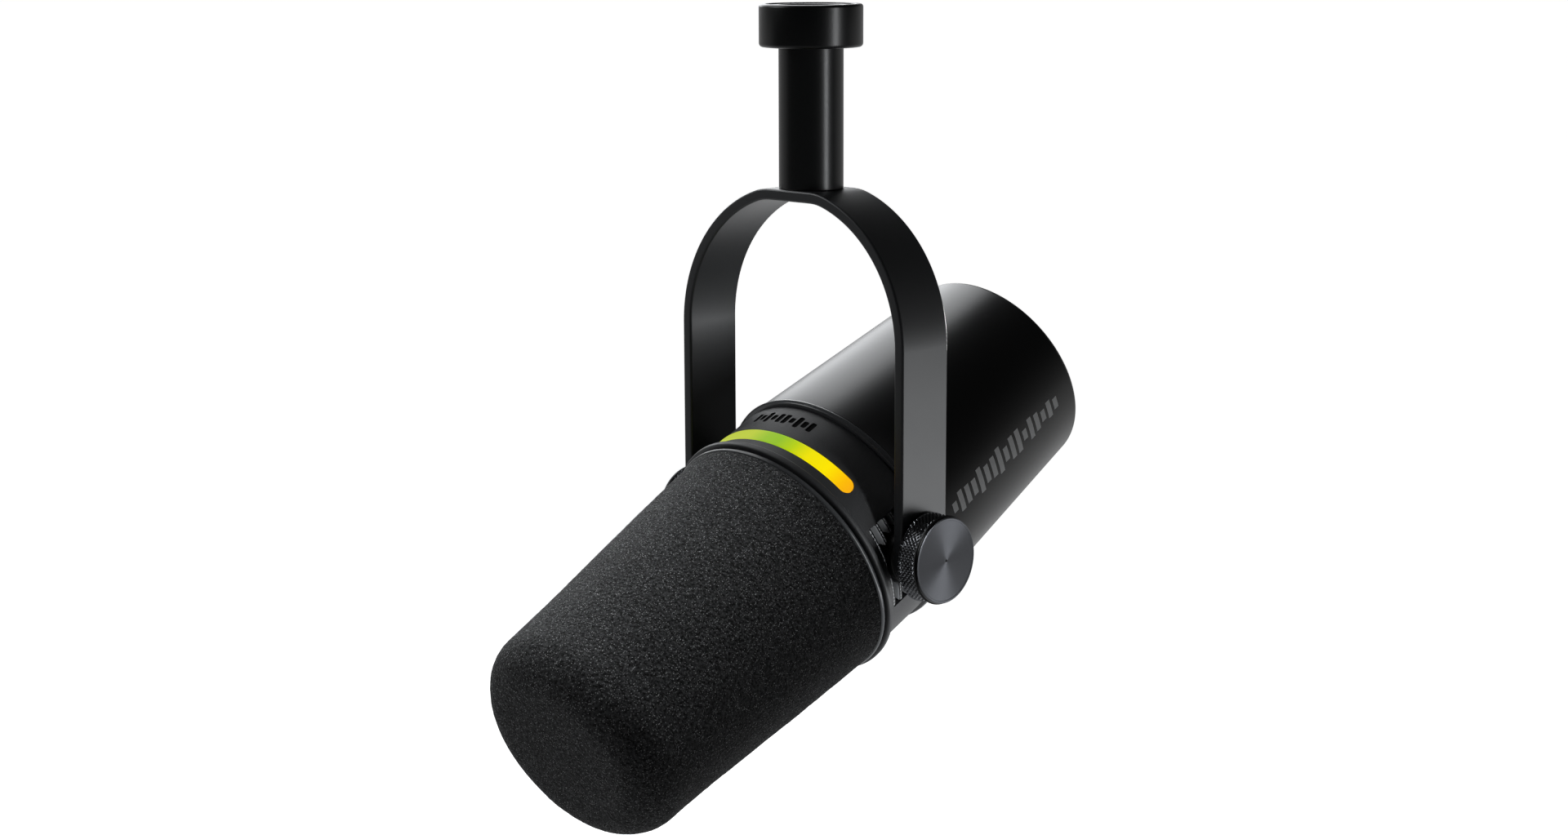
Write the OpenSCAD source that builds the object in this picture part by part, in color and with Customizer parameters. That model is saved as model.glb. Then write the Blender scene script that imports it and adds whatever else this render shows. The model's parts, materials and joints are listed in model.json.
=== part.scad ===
// End-address broadcast microphone in a yoke, with a foam windscreen and a light strip.
// +Z is up. The origin is the mouth of the stand thread, on the axis of the stem.
// The head's own axis runs forwards: its stations are measured from the pivot, front positive.

/* [Stand collar] */
// Radius of the swivel collar
collar_r = 12; // [11:0.25:14]
// Height of the swivel collar
collar_h = 9.8; // [9:0.2:12]
// Minor radius of the 5/8 inch stand thread
stand_thread_r = 7.43; // [7.4:0.01:7.5]

/* [Stem and yoke] */
// Radius of the stem
stem_r = 7.5; // [7:0.1:8]
// Length of the stem that shows between the collar and the yoke
stem_len = 32.5; // [25:0.5:45]
// Width over the outsides of the two arms
yoke_span = 70.4; // [70:0.1:72]
// Thickness of the strap
strap_t = 2.6; // [2.4:0.1:3]
// Width of the strap
strap_w = 15.6; // [14:0.2:18]
// Height of the arch's centre over the pivot
arch_h = 47.7; // [45:0.1:55]
// Height of the flat crown over the pivot
crown_h = 81.9; // [80:0.1:82.5]
// How far the head's nose points below the horizon
tilt_down = 24.2; // [0:0.1:45]

/* [Head] */
// Radius of the barrel at its front end
barrel_front_r = 30.7; // [30:0.1:31]
// Radius of the barrel at its rear end
barrel_rear_r = 26.2; // [25:0.1:28]
// Station of the barrel's front end
barrel_front_z = -9.6; // [-11:0.1:-9]
// Station of the barrel's rear end
barrel_rear_z = -73.6; // [-76:0.1:-72]
// Wall of the barrel
barrel_wall = 1.6; // [1.2:0.1:2]
// Radius of the front housing
housing_r = 30.3; // [30:0.1:30.6]
// Wall of the front housing
housing_wall = 2.2; // [1.8:0.1:2.4]

/* [Windscreen] */
// Radius of the foam at its base
foam_base_r = 30.8; // [30:0.1:31.5]
// Radius of the foam at its nose
foam_nose_r = 26.5; // [25:0.1:28]
// Station of the nose
foam_nose_z = 88.5; // [87:0.5:95]
// Rounding of the nose
foam_round = 10; // [6:0.5:12]

/* [Knobs] */
// Radius over the knurl
knob_r = 10.3; // [9:0.1:11]
// Distance of the knob's face from the centre plane
knob_face_x = 41.9; // [41:0.1:44]
// Thread pitch of the knob's stud
knob_pitch = 1; // [0.8:0.2:1.25]

/* [Hidden] */
$fn = 96;
gap = 0.05;              // gap between pieces that sit against each other
run = 0.06;              // radial clearance of a bearing
eps = 0.1;               // overshoot of a cut

// Stand collar: the rim stands a little over the mouth of the thread
collar_top = 0.3;
collar_bottom = collar_top - collar_h;
collar_bore_r = 10.2;
collar_lip = 1.5;
insert_len = 6.8;
flange_r = 9.8;
flange_t = 0.9;
flange_top = -insert_len - 0.1;

// Stem and yoke, from the top down
crown_z = collar_bottom - stem_len;
pivot_z = crown_z - crown_h;
arm_out = yoke_span / 2;
arm_in = arm_out - strap_t;
arch_z = pivot_z + arch_h;
screw_r = 3;
screw_depth = 12;
head_r = 5.2;            // head of the countersunk stem screw

// Pivot: bush noses turn in the arms' holes
nose_r = 5.5;
nose_end = arm_out - 0.3;
shoulder_r = 7.2;
shoulder_x = arm_in - 1;
bush_r = 6.5;
bush_in = 21.5;
stud_r = 2.95;
stud_bore_r = stud_r + gap;
stud_in = 24;
knob_washer_t = 0.6;
knob_back_x = arm_out + gap + knob_washer_t + gap;

// Stations along the head
housing_rear_z = barrel_front_z + 1.6;
housing_front_z = 9.9;
flange_front_z = 11.4;
housing_flange_r = 31.9;
spigot_r = 28.3;
spigot_rear_z = -15;
bulkhead_r = 21;
bulkhead_t = 2.2;

// Light strip on the top
lens_z0 = 2.5;
lens_w = 4;
lens_half_angle = 47.2;  // to the centres of its round ends
lens_in_r = 27.9;
lens_out_r = housing_r + 0.1;

// Side vents around the pivots
vent_z0 = -6.2;
vent_z1 = 7.6;
vent_half_angle = 21;
vent_ribs = 6;
vent_rib_w = 0.9;

// Windscreen and grille
ring_z0 = 11.9;
ring_z1 = 13.1;
foam_z0 = ring_z1;
grille_flange_z = 12.4;
grille_base_r = 24.8;
grille_nose_r = 20.6;
grille_nose_z = 76;
grille_wall = 0.9;
foam_wall = 0.4;         // clearance between the foam and the grille
screw_ring_r = 26;       // circle of the grille screws

// Capsule, from its rear to its front
cap_rear = 38;
cap_front = 62;
cap_r = 15.5;
cap_wall = 1.2;
carrier_r = 19;
carrier_wall = 1.2;
carrier_front = 60;
magnet_r = 8;
plate_in_r = 9.2;
plate_out_r = 12.5;
coil_r = 8.6;

// Electronics and rear panel
panel_z0 = -71;
panel_t = 2.4;
panel_r = 24.3;
rear_hole_r = 23;
xlr_y = -11;
xlr_r = 9.4;
board_y = 6.2;
board_t = 1.6;
board_top = board_y + board_t + gap;
board_w = 34;
board_z0 = -68.4;
board_len = 50;
tray_y = 0;
usb_half_h = 1.6;
usb_x = -7;
usb_y = board_top + usb_half_h;
jack_x = 8;
jack_half_h = 3;
jack_y = board_top + jack_half_h;
jack_bore_r = 1.8;
lead_y = board_top + 0.6;

black = "#1b1c1e";
graphite = "#3a3c40";
rubber = "#202020";
steel = "#b8bcc2";
brass = "#c9a24a";
circuit = "#1d5a38";

// ---- shared shapes -------------------------------------------------------

// Places children that are drawn along the head's own axis
module in_head() {
    translate([0, 0, pivot_z]) rotate([90 + tilt_down, 0, 0]) children();
}

// Ring between two radii and two stations
module ring(outer, inner, z0, z1) {
    translate([0, 0, z0]) difference() {
        cylinder(r = outer, h = z1 - z0);
        translate([0, 0, -eps]) cylinder(r = inner, h = z1 - z0 + 2 * eps);
    }
}

// Rod along X between two distances from the centre plane
module x_rod(r, x0, x1) {
    translate([x0, 0, 0]) rotate([0, 90, 0]) cylinder(r = r, h = x1 - x0);
}

// Tube along X between two distances from the centre plane
module x_tube(outer, inner, x0, x1) {
    difference() {
        x_rod(outer, x0, x1);
        x_rod(inner, x0 - eps, x1 + eps);
    }
}

// Part of a ring, centred on an angle about the head's axis, 90 being the top
module ring_part(outer, inner, z0, z1, middle, half) {
    rotate([0, 0, middle - half]) rotate_extrude(angle = 2 * half)
        translate([inner, z0]) square([outer - inner, z1 - z0]);
}

// Places children at count equal steps around Z
module around(count, start = 0) {
    for (i = [0 : count - 1]) rotate([0, 0, start + i * 360 / count]) children();
}

// Draws children, made for the right side, on the left side
module left_side() {
    mirror([1, 0, 0]) children();
}

// ---- collar, stem and yoke -------------------------------------------------

module swivel_collar() {
    color(black) difference() {
        rotate_extrude() polygon([
            [0, collar_bottom], [collar_r - 0.7, collar_bottom],
            [collar_r, collar_bottom + 0.7], [collar_r, collar_top - 0.5],
            [collar_r - 0.5, collar_top], [0, collar_top]]);
        translate([0, 0, collar_bottom + collar_lip])
            cylinder(r = collar_bore_r, h = collar_h);
        translate([0, 0, collar_bottom - eps]) cylinder(r = stem_r + run, h = collar_h);
    }
}

module thread_insert() {
    color(brass) ring(collar_bore_r - gap, stand_thread_r, -insert_len, 0);
}

module stem() {
    color(black) difference() {
        union() {
            translate([0, 0, crown_z]) cylinder(r = stem_r, h = flange_top - crown_z);
            translate([0, 0, flange_top - flange_t]) cylinder(r = flange_r, h = flange_t);
        }
        translate([0, 0, crown_z - eps]) cylinder(r = screw_r, h = screw_depth + 2);
    }
}

// The strap's arch, seen from the front
module arch(r, crown) {
    intersection() {
        union() {
            translate([0, arch_z]) circle(r = r);
            translate([-r, pivot_z - strap_w]) square([2 * r, arch_z - pivot_z + strap_w]);
        }
        translate([-r, pivot_z - strap_w]) square([2 * r, crown - pivot_z + strap_w]);
    }
}

module yoke() {
    color(graphite) difference() {
        intersection() {
            translate([0, strap_w / 2, 0]) rotate([90, 0, 0])
                linear_extrude(strap_w) arch(arm_out, crown_z);
            union() {
                translate([0, 0, pivot_z]) x_rod(strap_w / 2, -arm_out, arm_out);
                translate([-arm_out, -strap_w / 2, pivot_z])
                    cube([yoke_span, strap_w, crown_h]);
            }
        }
        translate([0, strap_w, 0]) rotate([90, 0, 0])
            linear_extrude(2 * strap_w) arch(arm_in, crown_z - strap_t);
        translate([0, 0, pivot_z]) x_rod(nose_r + run, -arm_out - eps, arm_out + eps);
        translate([0, 0, crown_z - strap_t - gap])
            cylinder(r1 = head_r + 2 * gap, r2 = screw_r + gap, h = 2.1 + gap);
        translate([0, 0, crown_z - 1]) cylinder(r = screw_r + gap, h = 2);
    }
}

// Countersunk screw, flush with the underside of the crown
module stem_screw() {
    under = crown_z - strap_t;
    color(steel) difference() {
        union() {
            translate([0, 0, under]) cylinder(r1 = head_r, r2 = screw_r - gap, h = 2.1);
            translate([0, 0, under + 2]) cylinder(r = screw_r - gap, h = screw_depth);
        }
        translate([0, 0, under - eps]) cylinder(r = 2, h = 1.4, $fn = 6);
    }
}

// ---- barrel and front housing ----------------------------------------------

// Outer radius of the barrel at a station
function barrel_r(z) = barrel_rear_r
    + (barrel_front_r - barrel_rear_r) * (z - barrel_rear_z) / (barrel_front_z - barrel_rear_z);

module barrel() {
    soft = 1.4;
    inner_front = barrel_front_r - barrel_wall;
    inner_rear = barrel_r(panel_z0) - barrel_wall;
    corner = [for (a = [0 : 15 : 90]) [barrel_rear_r - soft * (1 - sin(a)),
                                       barrel_rear_z + soft * (1 - cos(a))]];
    color(black) in_head() rotate_extrude() polygon(concat(
        [[rear_hole_r, barrel_rear_z]], corner,
        [[barrel_front_r, barrel_front_z], [inner_front, barrel_front_z],
         [inner_rear, panel_z0], [rear_hole_r, panel_z0]]));
}

module barrel_trim_ring() {
    color(graphite) in_head() rotate_extrude() polygon([
        [spigot_r + gap, barrel_front_z + gap], [31.1, barrel_front_z + gap],
        [31.2, barrel_front_z + 0.4], [31, housing_rear_z - gap],
        [spigot_r + gap, housing_rear_z - gap]]);
}

module barrel_seal() {
    color(rubber) in_head() translate([0, 0, -12.5]) rotate_extrude()
        translate([spigot_r - 0.2, 0]) circle(r = 0.5, $fn = 24);
}

// The light strip's outline: a bent bar with round ends
module lens_shape(outer, inner, grow) {
    mid = lens_z0 + lens_w / 2;
    half = lens_w / 2 + grow;
    intersection() {
        ring(outer, inner, mid - half - 1, mid + half + 1);
        union() {
            ring_part(outer + 2, inner - 2, mid - half, mid + half, 90, lens_half_angle);
            for (side = [-1, 1]) rotate([0, 0, 90 + side * lens_half_angle])
                translate([0, 0, mid]) x_rod(half - 0.02, inner - 3, outer + 3);
        }
    }
}

module vent_window(side) {
    ring_part(housing_r + 2, housing_r - housing_wall - 0.2, vent_z0, vent_z1,
              side > 0 ? 0 : 180, vent_half_angle);
}

module front_housing() {
    color(black) in_head() difference() {
        union() {
            translate([0, 0, housing_rear_z])
                cylinder(r = housing_r, h = flange_front_z - housing_rear_z);
            rotate_extrude() polygon([
                [20, housing_front_z], [housing_flange_r - 0.4, housing_front_z],
                [housing_flange_r, housing_front_z + 0.4],
                [housing_flange_r, flange_front_z - 0.5],
                [housing_flange_r - 0.5, flange_front_z], [20, flange_front_z]]);
            translate([0, 0, spigot_rear_z])
                cylinder(r = spigot_r, h = housing_rear_z - spigot_rear_z + eps);
        }
        translate([0, 0, spigot_rear_z - eps]) cylinder(r = spigot_r - 2,
            h = housing_rear_z - spigot_rear_z + 2 * eps);
        translate([0, 0, housing_rear_z]) cylinder(r = housing_r - housing_wall,
            h = housing_front_z - bulkhead_t - housing_rear_z);
        translate([0, 0, -eps]) cylinder(r = bulkhead_r, h = flange_front_z + 1);
        translate([0, 0, housing_front_z]) cylinder(r = 27.4, h = 4);
        ring(spigot_r + 1, spigot_r - 0.75, -13.05, -11.95);
        lens_shape(housing_r + 2, lens_in_r - 0.5, gap);
        vent_window(1);
        vent_window(-1);
        for (side = [-1, 1]) rotate([0, side * 90, 0]) cylinder(r = shoulder_r + 0.1, h = 40);
        around(3, 90) translate([screw_ring_r, 0, 4]) cylinder(r = 0.9, h = 8);
    }
}

// Ribbed grating that fills a side window round the pivot's shoulder
module vent() {
    foot = housing_r - housing_wall - 0.3;
    pitch = (vent_z1 - vent_z0 - vent_rib_w) / (vent_ribs - 1);
    color(graphite) in_head() difference() {
        union() {
            ring_part(foot, foot - 0.9, vent_z0 - 0.6, vent_z1 - 0.5, 0, vent_half_angle + 2);
            for (i = [0 : vent_ribs - 1])
                ring_part(housing_r - 0.2, foot - 0.2, vent_z0 + gap + i * pitch,
                          vent_z0 - gap + i * pitch + vent_rib_w, 0, vent_half_angle - 0.2);
        }
        x_rod(shoulder_r + 0.1, 20, 40);
    }
}

module right_vent() { vent(); }
module left_vent() { left_side() vent(); }

// ---- light strip -------------------------------------------------------------

module light_lens() {
    color("#cfe000") in_head() lens_shape(lens_out_r, lens_in_r, 0);
}

module light_board() {
    color(circuit) in_head() ring_part(26.8, 26.2, 1.8, 7.2, 90, 50);
}

module light_leds() {
    count = 12;
    color("white") in_head() for (i = [0 : count - 1])
        rotate([0, 0, 90 + lens_half_angle * (2 * i / (count - 1) - 1)])
            translate([26.8 + gap, -1.1, lens_z0 + lens_w / 2 - 1.1]) cube([0.8, 2.2, 2.2]);
}

// ---- pivots -------------------------------------------------------------------

module pivot_chassis() {
    ring_r = 25.8;
    color(steel) in_head() difference() {
        union() {
            ring(ring_r, 22.6, -7.3, 7);
            intersection() {
                union() {
                    x_rod(8.6, -ring_r - 0.8, -18);
                    x_rod(8.6, 18, ring_r + 0.8);
                }
                translate([0, 0, -7.3]) cylinder(r = ring_r + 0.8, h = 14.3);
            }
        }
        x_rod(bush_r + gap, -40, 40);
        around(3, 90) translate([24.2, 0, -8]) cylinder(r = 1, h = 9);
    }
}

module chassis_screws() {
    color(steel) in_head() around(3, 90) translate([24.2, 0, -9.2]) {
        cylinder(r = 1.7, h = 1.85);
        cylinder(r = 0.95, h = 8);
    }
}

module pivot_bush() {
    color(brass) in_head() difference() {
        union() {
            x_rod(bush_r, bush_in, 28);
            x_rod(shoulder_r, 27, shoulder_x);
            x_rod(nose_r, shoulder_x - eps, nose_end);
        }
        x_rod(stud_bore_r, bush_in - eps, nose_end + eps);
    }
}

module right_pivot_bush() { pivot_bush(); }
module left_pivot_bush() { left_side() pivot_bush(); }

module friction_washer() {
    color(rubber) in_head() x_tube(shoulder_r, nose_r + gap, shoulder_x + gap, arm_in - gap);
}

module right_friction_washer() { friction_washer(); }
module left_friction_washer() { left_side() friction_washer(); }

module knob_washer() {
    color(black) in_head() x_tube(9, stud_r + gap, arm_out + gap, arm_out + gap + knob_washer_t);
}

module right_knob_washer() { knob_washer(); }
module left_knob_washer() { left_side() knob_washer(); }

// Knob head: turned face with a centre mark, straight rim that takes the knurl
module knob() {
    bevel = 0.35;
    color(graphite) in_head() rotate([0, 90, 0]) rotate_extrude() polygon([
        [stud_r + gap, knob_back_x], [knob_r - bevel, knob_back_x],
        [knob_r, knob_back_x + bevel], [knob_r, knob_face_x - 1.1],
        [knob_r - 0.5, knob_face_x - 0.8], [knob_r - 0.3, knob_face_x - 0.3],
        [knob_r - 0.6, knob_face_x], [0.5, knob_face_x], [0, knob_face_x - 0.4],
        [0, knob_face_x - 3], [stud_r + gap, knob_face_x - 3]]);
}

module right_knob() { knob(); }
module left_knob() { left_side() knob(); }

module stud() {
    color(steel) in_head() union() {
        x_rod(stud_r, stud_in + 0.6, knob_face_x - 3 - gap);
        translate([stud_in, 0, 0]) rotate([0, 90, 0]) cylinder(r1 = stud_r - 0.6, r2 = stud_r, h = 0.6);
    }
}

module right_stud() { stud(); }
module left_stud() { left_side() stud(); }

// ---- grille, carrier and capsule ------------------------------------------------

module capsule_carrier() {
    outer = carrier_r + carrier_wall;
    color(black) in_head() difference() {
        union() {
            ring(outer, carrier_r, housing_front_z + gap, carrier_front);
            ring(27.3, carrier_r, housing_front_z + gap, 11.2);
        }
        around(6) translate([carrier_r - 2, -6, 18]) cube([6, 12, 17]);
        around(6) translate([carrier_r - 2, -6, 43.5]) cube([6, 12, 8]);
        around(3, 90) translate([screw_ring_r, 0, 5]) cylinder(r = 0.9, h = 8);
    }
}

module grille() {
    slots = 14;
    round_r = 5;
    outer = [for (a = [0 : 15 : 90]) [grille_nose_r - round_r * (1 - cos(a)),
                                      grille_nose_z - round_r * (1 - sin(a))]];
    inner = [for (a = [90 : -15 : 0]) [grille_nose_r - round_r + (round_r - grille_wall) * cos(a),
                                       grille_nose_z - round_r + (round_r - grille_wall) * sin(a)]];
    color(graphite) in_head() difference() {
        rotate_extrude() polygon(concat(
            [[27.2, 11.3], [27.2, grille_flange_z], [grille_base_r, grille_flange_z]], outer,
            [[0, grille_nose_z], [0, grille_nose_z - grille_wall]], inner,
            [[grille_base_r - grille_wall, grille_flange_z], [22, 12], [22, 11.3]]));
        around(slots) translate([grille_nose_r - 4, -1.4, 19]) cube([10, 2.8, 20]);
        around(slots, 180 / slots) translate([grille_nose_r - 4, -1.4, 44]) cube([10, 2.8, 20]);
        for (row = [1 : 2]) around(6 * row) translate([row * 5.2, 0, grille_nose_z - 3])
            cylinder(r = 1.7, h = 6);
        around(3, 90) translate([screw_ring_r, 0, 10]) cylinder(r = 0.9, h = 4);
    }
}

module grille_screws() {
    color(steel) in_head() around(3, 90) translate([screw_ring_r, 0, 0]) {
        translate([0, 0, 8]) cylinder(r = 0.85, h = grille_flange_z + gap - 8 + eps);
        translate([0, 0, grille_flange_z + gap]) cylinder(r = 1.1, h = 0.35);
    }
}

module shock_mount(z) {
    color(rubber) in_head() difference() {
        ring(carrier_r - gap, cap_r + gap, z, z + 4);
        around(8) translate([(carrier_r + cap_r) / 2, 0, z - 1]) cylinder(r = 1.2, h = 6);
    }
}

module front_shock_mount() { shock_mount(54); }
module rear_shock_mount() { shock_mount(38.5); }

module capsule_housing() {
    color(steel) in_head() difference() {
        translate([0, 0, cap_rear]) cylinder(r = cap_r, h = cap_front - cap_rear);
        translate([0, 0, cap_rear + 1.5]) cylinder(r = cap_r - cap_wall, h = 40);
        around(4, 45) translate([11, 0, cap_rear - 1]) cylinder(r = 1.5, h = 4);
        lead_places() translate([0, 0, cap_rear - 1]) cylinder(r = 0.9, h = 4);
    }
}

module capsule_cap() {
    color(graphite) in_head() difference() {
        union() {
            translate([0, 0, cap_front + gap]) cylinder(r = cap_r, h = 1.4);
            ring(cap_r - cap_wall - gap, 12.6, cap_front - 2, cap_front + 0.5);
        }
        translate([0, 0, cap_front - 3]) cylinder(r = 1.3, h = 8);
        for (row = [1 : 2]) around(6 * row) translate([row * 4.6, 0, cap_front - 3])
            cylinder(r = 1.3, h = 8);
    }
}

module magnet_cup() {
    color(steel) in_head() difference() {
        translate([0, 0, 41]) cylinder(r = 12.4, h = 9);
        translate([0, 0, 43]) cylinder(r = 10.4, h = 10);
    }
}

module magnet() {
    color("#8d9096") in_head() translate([0, 0, 43 + gap]) cylinder(r = magnet_r, h = 6.5);
}

module pole_piece() {
    color(steel) in_head() translate([0, 0, 49.5 + 2 * gap]) cylinder(r = magnet_r, h = 3.4);
}

module top_plate() {
    color(steel) in_head() ring(plate_out_r, plate_in_r, 50 + gap, 53);
}

module voice_coil() {
    color(brass) in_head() ring(coil_r + 0.25, coil_r - 0.25, 50.6, 56.2);
}

// Thin dome with a rolled surround, held at its rim
module diaphragm() {
    skin = 0.25;
    rise = function (r) r < coil_r ? 2.2 * cos(90 * r / coil_r) : 0.9 * sin(180 * (r - coil_r) / 5.2);
    radii = [0.01, 2, 4, 6, 7.6, coil_r, 9.6, 11, 12.4, 13.8];
    color("#d8c690") in_head() translate([0, 0, 56.3]) rotate_extrude() polygon(concat(
        [for (r = radii) [r, rise(r) + skin]],
        [for (i = [len(radii) - 1 : -1 : 0]) [radii[i], rise(radii[i])]]));
}

// Places children on the two leads, which run straight forwards from the board
module lead_places() {
    for (side = [-1, 1]) translate([side * 5, lead_y, 0]) children();
}

module capsule_leads() {
    color("#b02020") in_head() lead_places()
        translate([0, 0, -22]) cylinder(r = 0.6, h = cap_rear + 23, $fn = 24);
}

// ---- electronics and rear panel ----------------------------------------------------

module main_board() {
    color(circuit) in_head() difference() {
        translate([-board_w / 2, board_y, board_z0]) cube([board_w, board_t, board_len]);
        board_corners() cylinder(r = 1.1, h = 20, center = true);
    }
}

// Places children at the board's four fixing holes, their axes square to the board
module board_corners() {
    for (sx = [-1, 1], z = [board_z0 + 3, board_z0 + board_len - 3])
        translate([sx * (board_w / 2 - 3), board_y, z]) rotate([-90, 0, 0]) children();
}

module board_components() {
    chips = [[0, -38, 10, 10, 1.4], [-10, -30, 6, 5, 1.2], [9, -27, 5, 7, 1.2],
             [-10, -45, 5, 4, 2.4], [10, -45, 4, 4, 3], [0, -25, 4, 3, 1]];
    color("#26282c") in_head() for (c = chips)
        translate([c[0] - c[2] / 2, board_top, c[1] - c[3] / 2]) cube([c[2], c[4], c[3]]);
}

// Places children on the two screws of the rear panel
module panel_screw_places() {
    for (side = [-1, 1]) translate([side * 18.5, 0, 0]) children();
}

module board_tray() {
    tray_z0 = panel_z0 + panel_t + gap;
    color(black) in_head() difference() {
        union() {
            translate([-board_w / 2, tray_y, tray_z0]) cube([board_w, 1.6, 52]);
            board_corners() translate([0, 0, tray_y - board_y + 0.5])
                cylinder(r = 2.2, h = board_y - tray_y - 0.5 - gap);
            panel_screw_places() translate([0, 0, tray_z0]) cylinder(r = 2.4, h = 6.5);
        }
        board_corners() translate([0, 0, -8]) cylinder(r = 0.9, h = 10);
        panel_screw_places() translate([0, 0, tray_z0 - 1]) cylinder(r = 1.25, h = 6.5);
    }
}

module board_screws() {
    color(steel) in_head() board_corners() {
        translate([0, 0, board_t + gap]) cylinder(r = 2, h = 1.3);
        translate([0, 0, -5.5]) cylinder(r = 0.85, h = 5.5 + board_t + 1);
    }
}

module rear_panel() {
    color(black) in_head() difference() {
        translate([0, 0, panel_z0 + gap]) cylinder(r = panel_r, h = panel_t - gap);
        translate([0, xlr_y, panel_z0 - 1]) cylinder(r = xlr_r + 1.2 + gap, h = 6);
        translate([jack_x, jack_y, panel_z0 - 1]) cylinder(r = 3.2, h = 6);
        usb_outline(4.6, usb_half_h + 0.15, panel_z0 - 1, 6);
        panel_screw_places() translate([0, 0, panel_z0 - 1]) cylinder(r = 1.3, h = 6);
    }
}

module rear_panel_screws() {
    color(steel) in_head() panel_screw_places() translate([0, 0, panel_z0 - 1.1]) {
        difference() {
            cylinder(r = 2.3, h = 1.1);
            translate([0, 0, -eps]) cylinder(r = 0.9, h = 0.8, $fn = 6);
        }
        translate([0, 0, 0.5]) cylinder(r = 1.2, h = 5);
    }
}

module xlr_shell() {
    color(steel) in_head() translate([0, xlr_y, 0]) difference() {
        ring(xlr_r + 1.2, xlr_r, -72.4, -56);
        translate([-1.2, xlr_r - 1, -80]) cube([2.4, 3, 12]);
    }
}

// Places children on the three contact pins
module xlr_pin_places() {
    for (a = [25, 155, 270]) translate([0, xlr_y, 0]) rotate([0, 0, a])
        translate([4.4, 0, 0]) children();
}

module xlr_insulator() {
    color(black) in_head() difference() {
        translate([0, xlr_y, -59]) cylinder(r = xlr_r - gap, h = 3);
        xlr_pin_places() translate([0, 0, -60]) cylinder(r = 1.25, h = 6);
    }
}

module xlr_pins() {
    color(brass) in_head() xlr_pin_places() {
        translate([0, 0, -70]) cylinder(r = 1.2, h = 15.5);
        translate([0, 0, -70.6]) cylinder(r1 = 0.7, r2 = 1.2, h = 0.6 + gap);
    }
}

// Flat slot with round ends, as a receptacle's mouth
module usb_outline(half_w, half_h, z0, h) {
    translate([usb_x, usb_y, z0]) {
        for (side = [-1, 1]) translate([side * (half_w - half_h), 0, 0]) cylinder(r = half_h, h = h);
        translate([half_h - half_w, -half_h, 0]) cube([2 * (half_w - half_h), 2 * half_h, h]);
    }
}

module usb_receptacle() {
    color(steel) in_head() difference() {
        usb_outline(4.5, usb_half_h, panel_z0 + 0.2, 8);
        usb_outline(4.2, 1.3, panel_z0 - 1, 8);
    }
}

module usb_tongue() {
    color(black) in_head() translate([usb_x - 3.3, usb_y - 0.35, panel_z0 + 1.2])
        cube([6.6, 0.7, 5.75]);
}

module headphone_jack() {
    color(black) in_head() translate([jack_x, jack_y, 0]) difference() {
        union() {
            translate([0, 0, panel_z0 - 0.8]) cylinder(r = 4, h = 0.8);
            translate([0, 0, panel_z0 - 0.1]) cylinder(r = 3, h = 5);
            translate([-3.5, -jack_half_h, panel_z0 + panel_t + gap])
                cube([7, 2 * jack_half_h, 12]);
        }
        translate([0, 0, panel_z0 - 2]) cylinder(r = jack_bore_r, h = 14.5);
    }
}

// ---- windscreen -------------------------------------------------------------------

// Radius of the foam at a fraction of its length, base to nose
function foam_r(u) = foam_base_r - (foam_base_r - foam_nose_r) * (u + 1.25 * pow(u, 3) * (1 - u));

module foam_windscreen() {
    steps = 16;
    straight = foam_nose_z - foam_round - foam_z0;
    total = foam_nose_z - foam_z0;
    side = [for (i = [0 : steps]) let (z = straight * i / steps) [foam_r(z / total), foam_z0 + z]];
    tip_r = foam_r(straight / total) - foam_round;
    tip = [for (a = [12 : 12 : 84]) [tip_r + foam_round * cos(a),
                                     foam_nose_z - foam_round * (1 - sin(a))]];
    hollow_base = grille_base_r + foam_wall;
    hollow_nose = grille_nose_r + foam_wall;
    hollow_end = grille_nose_z + foam_wall;
    soft = 2.9;
    color("#151515") in_head() rotate_extrude() polygon(concat(
        [[hollow_base, foam_z0]], side, tip,
        [[tip_r, foam_nose_z], [0, foam_nose_z], [0, hollow_end],
         [hollow_nose - soft, hollow_end], [hollow_nose, hollow_end - soft]]));
}

module windscreen_ring() {
    color(graphite) in_head() rotate_extrude() polygon([
        [27.8, ring_z0], [30.9, ring_z0], [31.2, ring_z0 + 0.3],
        [31.2, ring_z1 - 0.35], [30.9, ring_z1 - gap], [27.8, ring_z1 - gap]]);
}

swivel_collar();
thread_insert();
stem();
yoke();
stem_screw();
barrel();
barrel_trim_ring();
barrel_seal();
front_housing();
left_vent();
right_vent();
light_lens();
light_board();
light_leds();
pivot_chassis();
chassis_screws();
left_pivot_bush();
right_pivot_bush();
left_friction_washer();
right_friction_washer();
capsule_carrier();
grille();
grille_screws();
front_shock_mount();
rear_shock_mount();
capsule_housing();
capsule_cap();
magnet_cup();
magnet();
pole_piece();
top_plate();
diaphragm();
voice_coil();
capsule_leads();
main_board();
board_components();
board_tray();
board_screws();
rear_panel();
rear_panel_screws();
xlr_shell();
xlr_insulator();
xlr_pins();
usb_receptacle();
usb_tongue();
headphone_jack();
left_knob();
right_knob();
left_stud();
right_stud();
left_knob_washer();
right_knob_washer();
foam_windscreen();
windscreen_ring();
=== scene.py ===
# %% [markdown]
# # A broadcast microphone in its yoke
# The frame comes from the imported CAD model: 54 named nodes on nine bodies. This script keeps that frame
# as it is and dresses it: it makes the shown shells again with rounded edges, adds knurls, threads, ribs
# and foam, and gives every piece a procedural finish. Sizes come from the frame where it holds them.
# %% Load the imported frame
import json
import math

import bmesh
import bpy
import numpy as np
from mathutils import Matrix, Vector


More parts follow.
